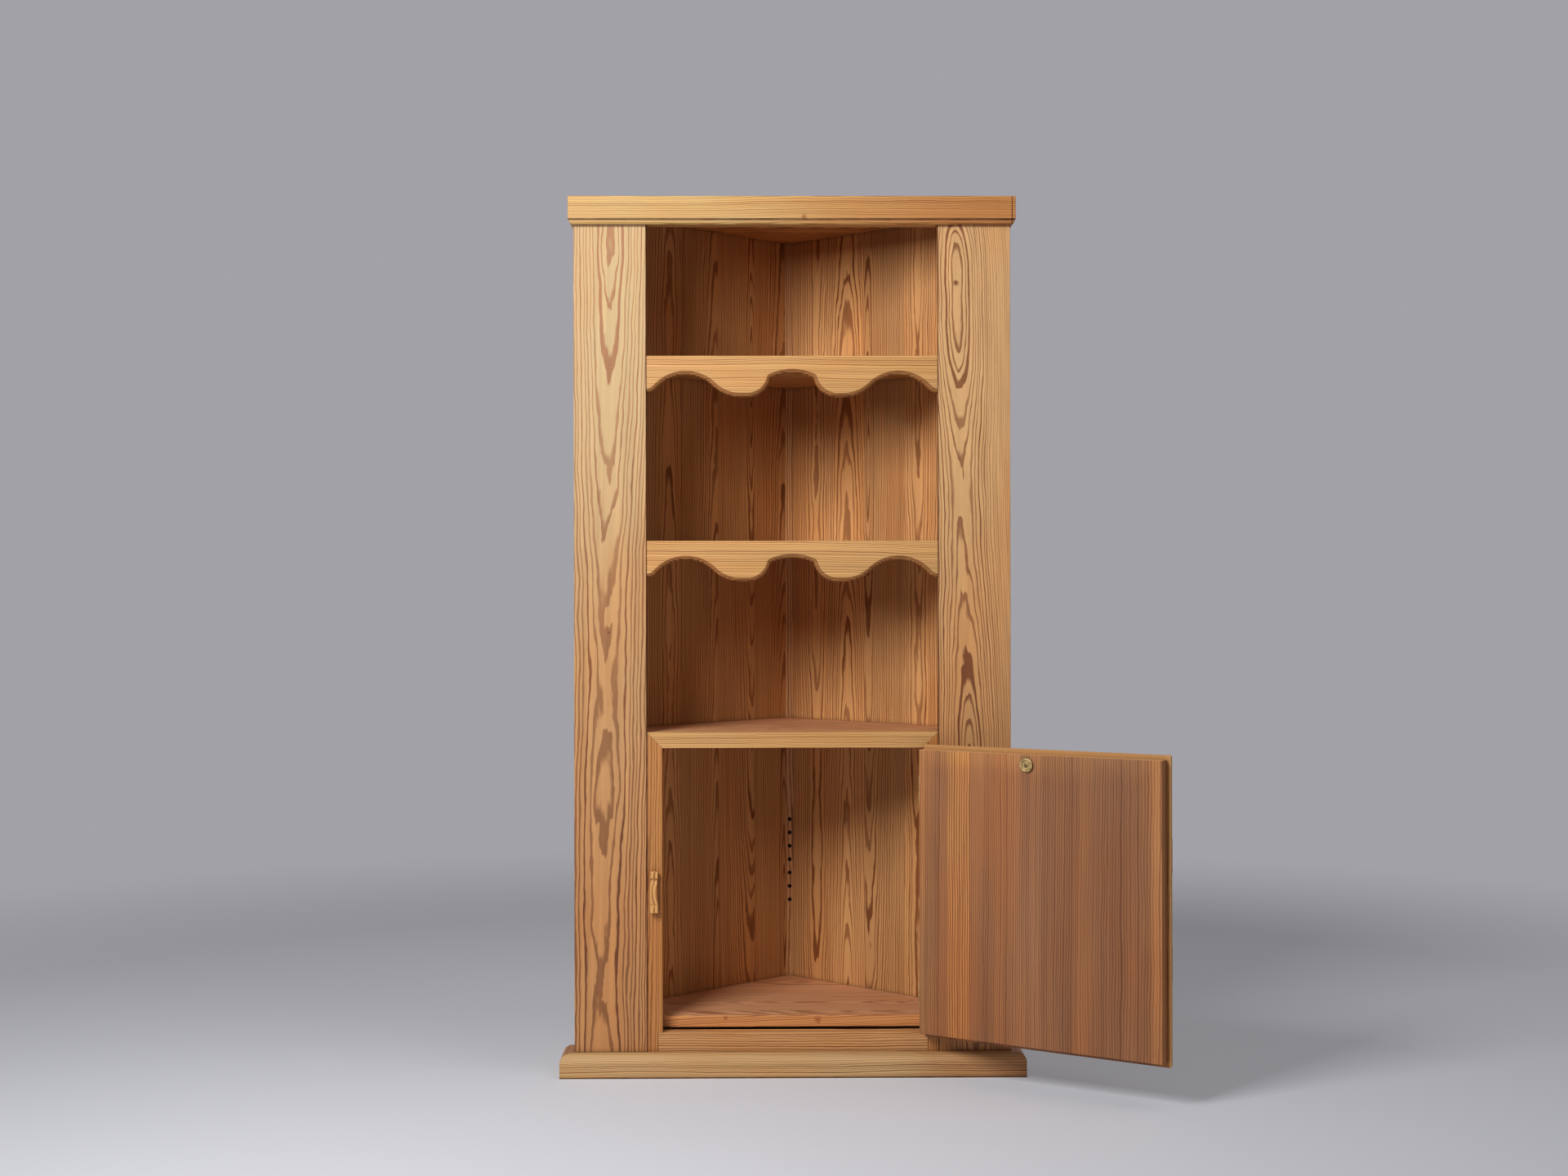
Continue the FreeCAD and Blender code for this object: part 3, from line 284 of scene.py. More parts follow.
class CabinetStudio(bpy.types.PropertyGroup):
    """The studio: its lamps, its floor, the wall behind it and the lens."""

    lens: bpy.props.FloatProperty(
        name="Lens", description="Focal length on a 36 mm sensor, in millimetres",
        default=48.92, min=20, max=120)
    key_power: bpy.props.FloatProperty(
        name="Key lamp", description="Power of the large soft lamp at the upper left",
        default=80, min=0, max=400, unit="POWER")
    top_power: bpy.props.FloatProperty(
        name="Top lamp", description="Power of the weak soft lamp high on the right",
        default=22, min=0, max=400, unit="POWER")
    fill: bpy.props.FloatProperty(
        name="Fill", description="Strength of the even light from all round",
        default=0.10, min=0, max=2)
    lift: bpy.props.FloatProperty(
        name="Shadow lift", description="Share of the wall's colour in the floor as it is seen",
        default=0.30, min=0, max=1)
    floor: bpy.props.FloatVectorProperty(
        name="Floor", description="Colour of the studio floor",
        subtype="COLOR", default=paint(236, 238, 244))
    wall: bpy.props.FloatVectorProperty(
        name="Wall", description="Colour that the camera sees behind the cabinet",
        subtype="COLOR", default=paint(162, 161, 167))


# Laying out shader nodes

class Wire:
    """A value on its way from one shader node to others, so that a formula reads as sums.

    Math nodes work out numbers. Vector Math nodes work out vectors and colours, and scale
    them where they are multiplied by a number."""

    def __init__(self, bench, socket):
        self.bench = bench
        self.socket = socket
        self.wide = socket.type in ("VECTOR", "RGBA")

    def work(self, operation, other):
        sums = self.bench.vector if self.wide else self.bench.maths
        return sums(operation, self, other)

    def __add__(self, other):
        return self.work("ADD", other)

    def __sub__(self, other):
        return self.work("SUBTRACT", other)

    def __truediv__(self, other):
        return self.work("DIVIDE", other)

    def __mul__(self, other):
        other_wide = other.wide if isinstance(other, Wire) else isinstance(other, tuple)
        if self.wide and not other_wide:
            return self.bench.add("VectorMath", {0: self, 3: other}, operation="SCALE")
        return self.work("MULTIPLY", other)

    def __rsub__(self, number):
        return self.bench.maths("SUBTRACT", number, self)

    def __abs__(self):
        return self.bench.maths("ABSOLUTE", self)


class Bench:
    """Adds nodes to one tree and wires them, so that a finish reads as a list of steps."""

    def __init__(self, tree):
        self.tree = tree

    def join(self, value, socket):
        if isinstance(value, Wire):
            self.tree.links.new(value.socket, socket)
        elif socket.type == "RGBA" and len(value) == 3:
            socket.default_value = (*value, 1.0)
        else:
            socket.default_value = value

    def node(self, kind, inputs=(), **settings):
        node = self.tree.nodes.new("ShaderNode" + kind)
        node.location = (len(self.tree.nodes) * 170, 0)
        for name, value in settings.items():
            setattr(node, name, value)
        for key, value in dict(inputs).items():
            self.join(value, node.inputs[key])
        return node

    def add(self, kind, inputs=(), output=0, **settings):
        """Adds a node with its inputs and settings, and gives the wire of one output."""
        return Wire(self, self.node(kind, inputs, **settings).outputs[output])

    def maths(self, operation, *values, clamp=False):
        return self.add("Math", enumerate(values), operation=operation, use_clamp=clamp)

    def vector(self, operation, *values, output="Vector"):
        return self.add("VectorMath", enumerate(values), output, operation=operation)

    def length(self, vector):
        return self.vector("LENGTH", vector, output="Value")

    def split(self, vector):
        return [Wire(self, socket) for socket in self.node("SeparateXYZ", {0: vector}).outputs]

    def combine(self, x, y, z):
        return self.add("CombineXYZ", {0: x, 1: y, 2: z})

    def in_axes(self, place, origin, turn):
        """A place as measured from an origin, along axes that are turned."""
        inputs = {"Vector": place, "Location": origin, "Rotation": turn}
        return self.add("Mapping", inputs, vector_type="TEXTURE")

    def noise(self, place, scale, detail=2.0, output="Fac"):
        inputs = {"Vector": place, "Scale": scale, "Detail": detail}
        return self.add("TexNoise", inputs, output)

    def waves(self, place, stretch, detail=2.0):
        """Noise with its own number of waves per metre along each axis."""
        return self.noise(place * stretch, 1.0, detail)

    def draw(self, number, output="Color"):
        """White noise of a number: a colour whose parts are three draws, or one value."""
        return self.add("TexWhiteNoise", {"W": number}, output, noise_dimensions="1D")

    def span(self, value, low, high, start=0.0, end=1.0):
        """A smooth change from start to end as value goes from low to high."""
        inputs = {0: value, 1: low, 2: high, 3: start, 4: end}
        return self.add("MapRange", inputs, interpolation_type="SMOOTHSTEP")

    def near(self, value, level, close, far, most=1.0):
        """The most where value lies close to a level, falling smoothly to nothing far off."""
        return self.span(abs(value - level), close, far, most, 0.0)

    def mix(self, share, first, second):
        return self.add("Mix", {0: share, 6: first, 7: second}, 2, data_type="RGBA")

    def tint(self, mask, colour, tint):
        """A colour that is multiplied by a tint where the mask is 1."""
        return self.mix(mask, colour, colour * tint)

    def group(self, name, **values):
        """Places a node group, and gives the wires of its outputs by their names."""
        inputs = {key.replace("_", " "): value for key, value in values.items()}
        node = self.node("Group", inputs, node_tree=bpy.data.node_groups[name])
        return {socket.name: Wire(self, socket) for socket in node.outputs}


def make_group(name, inputs, outputs, steps):
    """A shader node group with named sockets, whose insides are laid out by steps."""
    group = bpy.data.node_groups.new(name, "ShaderNodeTree")
    for way, sockets in (("INPUT", inputs), ("OUTPUT", outputs)):
        for socket in sockets:
            kind = "NodeSocket" + SOCKET_KINDS.get(socket, "Float")
            group.interface.new_socket(name=socket, in_out=way, socket_type=kind)
    bench = Bench(group)
    given = group.nodes.new("NodeGroupInput").outputs[:len(inputs)]
    end = group.nodes.new("NodeGroupOutput")
    for socket, value in steps(bench, *(Wire(bench, socket) for socket in given)).items():
        bench.join(value, end.inputs[socket])


def new_material(name):
    """A new material, the bench for its nodes and its Principled shader."""
    material = bpy.data.materials.new(name)
    material.use_nodes = True
    return material, Bench(material.node_tree), material.node_tree.nodes["Principled BSDF"]


# Effects that several finishes share

def stave_steps(bench, place, width):
    """Splits a glued-up panel into staves of one width across the grain.

    Each stave takes its own heart of a log from random numbers of its index, so its figure
    and its tone differ from its neighbours'. The joint is a thin line at the stave's edge."""
    joint, nearest, deeper, lean, apart, other_draw = 0.0009, 0.016, 0.03, 0.09, 9.0, 57.3
    x, y, z = bench.split(place)
    stave = x / width
    index = bench.maths("FLOOR", stave)
    inside = bench.maths("FRACT", stave) - 0.5
    first, second, third = bench.split(bench.draw(index))
    across = (inside + (first - 0.5)) * width
    depth = second * deeper + nearest + z * ((third - 0.5) * lean)
    edge = (0.5 - abs(inside)) * width
    return {
        "Vector": bench.combine(across, y + depth, third * apart + z),
        "Tone": bench.draw(index + other_draw, "Value"),
        "Joint": bench.span(edge, 0.0, joint, 1.0, 0.0),
    }


def ring_steps(bench, place, ring, wander, late_share, swell, tighter, faint):
    """Year rings about the heart of a log that runs along Z.

    The heart wanders, and swells towards the face by a bell curve about a level. Its distance
    is divided by the ring width, the rings tighten with its square, and a long and a short
    ripple shift them. Within a ring the late wood darkens, from an earlier or a later start
    and more or less deeply, and it ends at a sharp line."""
    uneven, spread, rise, end, dimmest = 1.5, 0.2, 0.24, 0.94, 0.55
    _, _, z = bench.split(place)
    path = bench.noise(bench.combine(3.7, 1.9, z), 2.4, 1.5, "Color")
    path = (path - (0.5, 0.5, 0.5)) * (2.0, 2.6, 0.0)
    x, y, _ = bench.split(place + path * wander)
    height, level, length = bench.split(swell)
    away = (z - level) / length
    y = bench.maths("EXPONENT", away * away * -1.0) * height + y
    radius = bench.length(bench.combine(x, y, 0.0))
    square = radius * radius * tighter
    turns = radius / ring + square
    for stretch, shift in RIPPLES:
        turns = (bench.waves(place, stretch) - 0.5) * shift + turns
    turns = bench.noise(bench.combine(turns, 0.0, 0.0), 0.45, 1.0) * uneven + turns
    share = bench.maths("FRACT", turns)
    early, strength, _ = bench.split(bench.draw(bench.maths("FLOOR", turns)))
    start = early * spread + (1.0 - spread - late_share)
    late = bench.span(share, start, start + rise) * bench.span(share, end, 1.0, 1.0, 0.0)
    late = late * (strength * (1.0 - dimmest) + dimmest)
    late = late * (1.0 - bench.span(square, 3.0, 4.6) * faint)
    return {"Late": late, "Fibre": bench.waves(place, FIBRES),
            "Streak": bench.waves(place, STREAKS, 3.0), "Slow": bench.waves(place, CLOUDS)}


def knot_steps(bench, place, middle, radius):
    """A knot: a dark eye with a fainter ring about it, from the distance to its middle."""
    reach = bench.length(place - middle) / radius + bench.noise(place, 260.0) * 0.7
    eye = bench.span(reach, 0.75, 1.15, 0.85, 0.0)
    return {"Mask": bench.maths("MAXIMUM", eye, bench.near(reach, 1.25, 0.0, 0.3, 0.5))}


def dark_line_steps(bench, place, direction, level, width):
    """A ragged line where the distance along a direction comes within a width of a level."""
    along = bench.vector("DOT_PRODUCT", place, direction, output="Value")
    line = bench.span(abs(along - level) / width, 0.55, 1.1, 1.0, 0.0)
    return {"Mask": line * (bench.noise(place, 30.0) * 0.6 + 0.5)}


def colour_steps(bench, late, fibre, streak, slow, tone, swing, pale, dark):
    """The colour of pine from its rings: early wood turns to late wood, and fibres, streaks
    and tone make it lighter or darker. Slow changes make it redder where they are high."""
    colour = bench.mix(late, pale, dark) * ((streak - 0.5) * swing + 1.0)
    colour = colour * (fibre * 0.2 + 0.9) * (tone * 0.24 + 0.88)
    return {"Color": bench.tint(bench.span(slow, 0.42, 0.68), colour, (1.0, 0.91, 0.82))}


def patina_light_and_shade_steps(bench, colour, wear_and_highlight, grime_and_shade, edge_radius):
    """Paler edges and darker corners. The paler edges are partly rubbed wear and partly a painted
    highlight on the arrises; they are where a rounded normal departs from the true one. The darker
    corners are partly grime and partly painted shade; they are where little of the air around is
    open."""
    rounded = bench.add("Bevel", {"Radius": edge_radius}, samples=4)
    true = bench.add("NewGeometry", output="Normal")
    bend = bench.vector("DOT_PRODUCT", rounded, true, output="Value")
    patchy = bench.noise(bench.add("TexCoord", output="Object"), 34.0, 3.0)
    # Paler edges: partly rubbed wear, partly a painted highlight on the arrises
    edge = bench.span(bend, 0.86, 0.99, 1.0, 0.0) * bench.span(patchy, 0.36, 0.62) * wear_and_highlight
    # Closed corners found by ambient occlusion, darkened below partly as grime and partly as painted
    # shade
    open_air = bench.add("AmbientOcclusion", {"Distance": 0.012}, "AO", samples=4)
    shut = bench.maths("SUBTRACT", 1.0, open_air, clamp=True)
    dirt_and_shade = bench.maths("POWER", shut, 1.3) * grime_and_shade
    # The edges are made paler by 1.35 here: partly wear, partly painted highlight
    worn = bench.mix(edge, colour, colour * 1.35)
    # The dark brown mixed in at the corners is grime and painted shade together
    return {"Color": bench.mix(dirt_and_shade, worn, colour * (0.24, 0.17, 0.12)), "DirtAndShade": dirt_and_shade,
            "Normal": rounded}


# The kinds of the groups' sockets that aren't plain numbers
SOCKET_KINDS = {"Vector": "Vector", "Swell": "Vector", "Middle": "Vector", "Direction": "Vector",
                "Normal": "Vector", "Color": "Color", "Pale": "Color", "Dark": "Color"}

EFFECTS = {
    "panel_staves": (("Vector", "Width"), ("Vector", "Tone", "Joint"), stave_steps),
    "year_rings": (("Vector", "Ring", "Wander", "Late Share", "Swell", "Tighter", "Faint"),
                   ("Late", "Fibre", "Streak", "Slow"), ring_steps),
    "knot": (("Vector", "Middle", "Radius"), ("Mask",), knot_steps),
    "dark_line": (("Vector", "Direction", "Level", "Width"), ("Mask",), dark_line_steps),
    "pine_colour": (("Late", "Fibre", "Streak", "Slow", "Tone", "Swing", "Pale", "Dark"),
                    ("Color",), colour_steps),
    "patina_light_and_shade": (("Color", "Wear", "Grime", "Edge Radius"), ("Color", "DirtAndShade", "Normal"),
               patina_light_and_shade_steps),
}


# Finishes

def log_turn(log):
    """The turn that carries the log's own axes onto the board, with the heart's lean."""
    lean = Matrix.Rotation(log.lean[0], 3, "X") @ Matrix.Rotation(log.lean[1], 3, "Y")
    return (RUNS[log.run] @ lean).to_euler("XYZ")


def wood_colours(finish):
    """The early and the late colour of a finish."""
    looks = bpy.context.scene.cabinet_finishes
    return [getattr(looks, f"{finish}_{part}") for part in ("pale", "late")]


def board_colours(bench, finish, place):
    """The two colours of a board, whose finish may change into another's along it."""
    if finish not in FADES:
        return wood_colours(finish)
    other, axis, start, end = FADES[finish]
    ragged = (bench.noise(place, 5.0) - 0.5) * (RAGGED * abs(end - start))
    share = bench.span(ragged + bench.split(place)[axis], start, end)
    return [bench.mix(share, *pair) for pair in zip(wood_colours(finish), wood_colours(other))]


def door_tones(bench, place, colour):
    """The door's long bands of darker and warmer brown, a greyer band in the middle, golden
    borders, a strip with strong grain, a fine joint near the free edge, and a pale lip on the
    top and free edges, partly the edge wood's paler colour and partly painted light on the top
    edge that faces up."""
    free_edge, top, lip_edge, lip_top = 0.565, 0.702, 0.5665, 0.701
    grey_band, joint, strip_start, strip_end = 0.262, 0.510, 0.080, 0.135
    on_door = bench.in_axes(place, HINGE_PIN, (0.0, 0.0, DOOR_TURN))
    across, _, z = bench.split(on_door)
    bands = bench.noise(bench.combine(across, 0.0, z * 0.05), 15.0, 3.5)
    colour = bench.mix(bench.span(bands, 0.38, 0.60), colour * (0.84, 0.82, 0.80),
                       colour * (1.14, 1.05, 0.92))
    colour = bench.tint(bench.near(across, grey_band, 0.02, 0.05), colour, (1.08, 1.14, 1.24))
    border = bench.maths("MINIMUM", across, free_edge - across)
    border = bench.maths("MINIMUM", border, top - z)
    border = bench.noise(place, 11.0, 3.0) * 0.05 + border
    golden = bench.span(border, 0.02, 0.085, 1.0, 0.0)
    colour = bench.tint(golden, colour, (1.26, 1.36, 1.26))
    strip = bench.noise(bench.combine(0.0, 0.0, z), 4.0) * 0.012 + across
    strip = bench.waves(on_door, (90.0, 90.0, 9.0)) * 0.004 + strip
    lines = bench.maths("SINE", strip * 1050.0)
    grain = bench.tint(bench.span(lines, 0.0, 0.7), colour * (1.62, 1.72, 1.40),
                       (0.48, 0.38, 0.32))
    inside = bench.span(strip, strip_start, strip_start + 0.003)
    inside = inside * bench.span(strip, strip_end - 0.003, strip_end, 1.0, 0.0)
    colour = bench.mix(inside * 0.85, colour, grain)
    colour = bench.tint(bench.near(across, joint, 0.0004, 0.0011, 0.7), colour, (0.4, 0.4, 0.4))
    # The lip on the top and free edges: partly the edge wood's paler colour, partly painted light on the
    # top edge that faces up
    rough_grain = bench.waves(on_door, (3.0, 420.0, 420.0))
    lip_tone_and_light = bench.mix(rough_grain, paint(168, 112, 62), paint(208, 160, 100))
    lip = bench.maths("MAXIMUM", bench.span(z, lip_top, lip_top + 0.001),
                      bench.span(across, free_edge, lip_edge))
    return bench.mix(lip, colour, lip_tone_and_light)


def shaded_sawn_edge(bench, place, colour):
    """Darker red-brown wood round a shaped edge, partly the cut grain's own darker tone and partly
    painted shade where the round turns to face down, with grain lines that follow it and a crisp
    dark rim where the edge begins, also partly painted shade. The attribute cut rises from 0 to 1
    round the edge."""
    cut = bench.add("Attribute", output="Fac", attribute_name="cut")
    wobble = bench.noise(place, 60.0) * 0.25 + cut
    lines = bench.span(bench.maths("SINE", wobble * 19.0), 0.0, 0.9)
    dark = bench.mix(lines, colour * (0.66, 0.52, 0.40), colour * (0.40, 0.28, 0.20))
    colour = bench.mix(bench.span(cut, 0.06, 0.12), colour, dark)
    return bench.tint(bench.near(cut, 0.10, 0.03, 0.08, 0.8), colour, (0.35, 0.25, 0.18))


def shaded_pin_holes(bench, place):
    """The post's row of pin holes, painted dark inside for the shade in them and round their worn
    rims: the distance to the nearest of seven levels about the middle one."""
    x, y, z = bench.split(place)
    step = (z - PIN_LEVEL) / PIN_PITCH
    off = (step - bench.maths("ROUND", step)) * PIN_PITCH
    near = bench.span(bench.length(bench.combine(x, off, 0.0)), 0.0044, 0.0052, 1.0, 0.0)
    row = bench.span(abs(step), 3.4, 3.5, 1.0, 0.0)
    return near * row * bench.span(y, PIN_BACK, PIN_BACK + 0.005, 1.0, 0.0)


def coat(bench, shader, patina_light_and_shade, roughness, relief, strength, depth):
    """Joins the colour with its wear, grime and painted highlight and shade, a roughness and a relief
    over the rounded edges.
    """
    bump = bench.add("Bump", {"Height": relief, "Normal": patina_light_and_shade["Normal"],
                              "Strength": strength, "Distance": depth})
    bench.join(patina_light_and_shade["Color"], shader.inputs["Base Color"])
    bench.join(roughness, shader.inputs["Roughness"])
    bench.join(bump, shader.inputs["Normal"])


def pine(board):
    """Waxed pine cut from the board's own log, as solid rings in the object's coordinates."""
    log = LOGS[board]
    looks = bpy.context.scene.cabinet_finishes
    material, bench, shader = new_material(f"{board}_pine")
    place = bench.add("TexCoord", output="Object")
    in_log, tone, joint = bench.in_axes(place, log.heart, log_turn(log)), 0.5, 0.0
    if log.stave:
        in_log, tone, joint = bench.group("panel_staves", Vector=in_log, Width=log.stave).values()
    height, level, length = SWELLS.get(board, (0.0, 0.0, 1.0))
    tighter, left = TIGHTER.get(board, (0.0, 1.0))
    rings = bench.group("year_rings", Vector=in_log, Ring=log.ring, Wander=log.wander,
                        Late_Share=looks.late_share, Swell=(height, level - log.heart[2], length),
                        Tighter=tighter, Faint=1.0 - left)
    late = bench.maths("MAXIMUM", rings["Late"], joint * 0.4)
    for knotty, middle, radius in KNOTS:
        if knotty == board:
            knot = bench.group("knot", Vector=place, Middle=middle, Radius=radius)["Mask"]
            late = bench.maths("MAXIMUM", late, knot * 1.6)
    pale, dark = board_colours(bench, log.finish, place)
    colour = bench.group("pine_colour", Late=late, Fibre=rings["Fibre"], Streak=rings["Streak"],
                         Slow=rings["Slow"], Tone=tone, Pale=pale, Dark=dark,
                         Swing=DOOR_SWING if log.finish == "door" else SWING)["Color"]
    if log.finish == "door":
        colour = door_tones(bench, place, colour)
    # The aprons' shaped edges darken, partly as painted shade on the downward-facing round
    if board.endswith("apron"):
        colour = shaded_sawn_edge(bench, place, colour)
    # Painted shade in the post's pin holes
    if board == "corner_post":
        colour = bench.tint(shaded_pin_holes(bench, place), colour, (0.10, 0.06, 0.04))
    # Dark lines: dark joints, and painted shade under the cornice, in its groove and at its right end
    for direction, level, width, boards in DARK_LINES:
        if board in boards:
            dark_line = bench.group("dark_line", Vector=place, Direction=direction, Level=level, Width=width)
            colour = bench.tint(dark_line["Mask"], colour, (0.20, 0.11, 0.06))
    patina_light_and_shade = bench.group("patina_light_and_shade", Color=colour, Wear=looks.edge_wear_and_highlight, Grime=looks.grime_and_shade,
                         Edge_Radius=0.0012)
    shader.inputs["Specular IOR Level"].default_value = 0.3
    gloss = patina_light_and_shade["DirtAndShade"] * 0.25 + (rings["Late"] * -0.1 + 0.52)
    relief = rings["Late"] * 0.7 + rings["Fibre"]
    coat(bench, shader, patina_light_and_shade, rings["Fibre"] * 0.08 + gloss, relief, 0.35, 0.0004)
    return material


def brass(name, bright, dull):
    """Old brass: polished high spots, dull tarnish in clouds, and corners darkened partly by wax and
    partly by painted shade.
    """
    looks = bpy.context.scene.cabinet_finishes
    material, bench, shader = new_material(name)
    place = bench.add("TexCoord", output="Object")
    cloud = bench.noise(place, 160.0, 4.0)
    scratch = bench.waves(place, (2600.0, 2600.0, 300.0))
    base = bench.mix(bench.span(cloud, 0.42, 0.66), bright, dull)
    patina_light_and_shade = bench.group("patina_light_and_shade", Color=base, Wear=looks.edge_wear_and_highlight, Grime=looks.grime_and_shade,
                         Edge_Radius=0.0004)
    shader.inputs["Metallic"].default_value = 0.4
    coat(bench, shader, patina_light_and_shade, scratch * 0.12 + (cloud * 0.3 + 0.28), scratch, 0.2, 0.0001)
    return material


# Surfaces

def link(name, data):
    """A new object with its data, in the scene."""
    thing = bpy.data.objects.new(name, data)
    bpy.context.scene.collection.objects.link(thing)
    return thing


def tube_faces(rows, columns):
    """The faces between neighbouring rings of points, each ring closed on itself."""
    index = np.arange(rows * columns).reshape(rows, columns)
    ring = np.hstack([index, index[:, :1]])
    corners = [ring[:-1, :-1], ring[:-1, 1:], ring[1:, 1:], ring[1:, :-1]]
    return np.stack(corners, axis=-1).reshape(-1, 4).tolist()


def lay_surface(name, points, material, body, slot, *nodes, cut=None):
    """A closed tube of faces over a grid of points: rows follow the first parameter, and each
    row is one closed section. The first and last sections are closed by a flat end. cut says
    for each point how far it lies on a shaped edge."""
    rows, columns = points.shape[:2]
    ends = [list(range(columns)), list(range((rows - 1) * columns, rows * columns))]
    mesh = bpy.data.meshes.new(name)
    mesh.from_pydata(points.reshape(-1, 3).tolist(), [], tube_faces(rows, columns) + ends)
    if cut is not None:
        mesh.attributes.new("cut", "FLOAT", "POINT").data.foreach_set("value", cut)
    shell = bmesh.new()
    shell.from_mesh(mesh)
    bmesh.ops.remove_doubles(shell, verts=shell.verts, dist=1e-6)
    bmesh.ops.recalc_face_normals(shell, faces=shell.faces)
    shell.to_mesh(mesh)
    shell.free()
    mesh.polygons.foreach_set("use_smooth", np.ones(len(mesh.polygons), bool))
    mesh.set_sharp_from_angle(angle=radians(32))
    mesh.materials.append(material)
    piece = link(name, mesh)
    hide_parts(*nodes)
    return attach(piece, body)


def ogee(x0, z0, x1, z1, share, steps):
    """An S of two arcs from one level point to another, as arrays of x, drop and slope.

    The radii add up to (run squared + rise squared) / twice the rise, share of them in the
    first arc, and each arc turns through twice the arctangent of rise over run."""
    run, rise = x1 - x0, z1 - z0
    total = (run ** 2 + rise ** 2) / (2 * abs(rise))
    there = np.linspace(0, 2 * np.arctan(abs(rise) / run), steps)
    back = there[::-1]
    up = np.sign(rise)
    first, second = total * share, total * (1 - share)
    x = np.concatenate([x0 + first * np.sin(there), x1 - second * np.sin(back)])
    z = np.concatenate([z0 + up * first * (1 - np.cos(there)),
                        z1 - up * second * (1 - np.cos(back))])
    return x, z, up * np.concatenate([there, back])


def middle_arch(knee, lobe, drops, steps):
    """Half of the middle arch as arrays of x, drop and slope: a flat arc to its corner, a fan
    of slopes at the corner itself, and the round side of the lobe down to its level foot."""
    rise = drops.knee_drop - drops.centre_drop
    arch = (knee ** 2 + rise ** 2) / (2 * rise)
    run, fall = lobe - knee, drops.lobe_drop - drops.knee_drop
    side = (run ** 2 + fall ** 2) / (2 * fall)
    flat = np.linspace(0, np.arcsin(knee / arch), steps)
    steep = np.linspace(np.arcsin(run / side), 0, steps)
    fan = np.linspace(flat[-1], steep[0], 6)
    x = np.concatenate([arch * np.sin(flat), np.full(6, knee), lobe - side * np.sin(steep)])
    z = np.concatenate([drops.centre_drop + arch * (1 - np.cos(flat)), np.full(6, drops.knee_drop),
                        drops.lobe_drop - side * (1 - np.cos(steep))])
    return x, z, np.concatenate([flat, fan, steep])


def apron_surface(top, half, thick, drops, steps=18):
    """The shaped apron: a section carried along the scalloped lower edge.

    Each section goes down the front face to the edge's inward normal times the radius, round
    a quarter circle to the underside, back along it and up the rear face. The second array is
    0 on the faces, rises round the edge and is 1 on the underside."""
    arris, bend = 0.001, drops.edge_round
    x, z, slope = middle_arch(KNEE * half, LOBE_START * half, drops, steps)
    lobe, arch = (LOBE_END * half, drops.lobe_drop), (SIDE_ARCH * half, drops.arch_drop)
    for start, finish, share in ((lobe, arch, 0.5), (arch, (half, drops.end_drop), 0.75)):
        more = ogee(*start, *finish, share, steps)
        x, z, slope = (np.concatenate(pair) for pair in zip((x, z, slope), more))
    x = np.concatenate([-x[::-1], x[1:]])
    z = top - np.concatenate([z[::-1], z[1:]])
    slope = np.concatenate([-slope[::-1], slope[1:]])
    angle = np.linspace(0, np.pi / 2, 7)
    inward = np.concatenate([[bend * 1.5], bend * (1 - np.sin(angle)), [0.0, 0.0, arris]])
    depth = np.concatenate([[0.0], bend * (1 - np.cos(angle)), [thick / 2, thick - arris, thick]])
    edge_x = np.clip(x[:, None] + np.sin(slope)[:, None] * inward, -half, half)
    edge_z = z[:, None] + np.cos(slope)[:, None] * inward
    rows = len(x)
    front = np.stack([x, np.full(rows, arris), np.full(rows, top)], axis=-1)
    lower = np.stack([x, np.zeros(rows), np.full(rows, top - arris)], axis=-1)
    rear = np.stack([x, np.full(rows, thick), np.full(rows, top)], axis=-1)
    section = np.stack([edge_x, np.broadcast_to(depth, edge_x.shape), edge_z], axis=-1)
    cut = np.concatenate([[0, 0, 0], angle / (np.pi / 2), [1, 1, 0, 0]])
    points = np.concatenate([front[:, None], lower[:, None], section, rear[:, None]], axis=1)
    return points, np.tile(cut, rows)


def hang(points):
    """Turns points laid out on the shut door about the hinge pin to where the door stands."""
    x, y = points[..., 0] - HINGE_PIN.x, points[..., 1] - HINGE_PIN.y
    return np.stack([HINGE_PIN.x + cos(DOOR_OPEN) * x - sin(DOOR_OPEN) * y,
                     HINGE_PIN.y + sin(DOOR_OPEN) * x + cos(DOOR_OPEN) * y, points[..., 2]], axis=-1)


def on_plate(radius, angle, height):
    """Points at a radius and angle about the catch plate's middle, a height off the door."""
    x = HINGE_PIN.x - PLATE_OUT + radius * np.cos(angle)
    z = PLATE_LEVEL + radius * np.sin(angle)
    return hang(np.stack(np.broadcast_arrays(x, DOOR_FACE + height, z), axis=-1))


def plate_surface(steps=96):
    """The round brass plate: a profile turned about its middle. The flat web runs out to a
    raised rim, whose section is the root of one less the fourth power of the way across it,
    with a small round bead at its inner foot."""
    bore, web, dish, foot, edge = 0.0030, 0.0008, 0.0062, 0.0074, 0.0144
    bead, bead_half, bead_rise = 0.0085, 0.0007, 0.0006
    rim, rim_half, rim_rise = 0.0122, 0.0022, 0.0019
    across = np.sin(np.linspace(-np.pi / 2, np.pi / 2, 17))
    few = across[::4]
    radius = np.concatenate([[bore, dish, foot], bead + bead_half * few, rim + rim_half * across,
                             [edge, bore]])
    height = np.concatenate([[web] * 3, web + bead_rise * np.sqrt(1 - few ** 2),
                             web + rim_rise * np.sqrt(1 - across ** 4), [0.0, 0.0]])
    angle = np.linspace(0, 2 * np.pi, steps, endpoint=False)
    return on_plate(radius[:, None], angle[None, :], height[:, None])


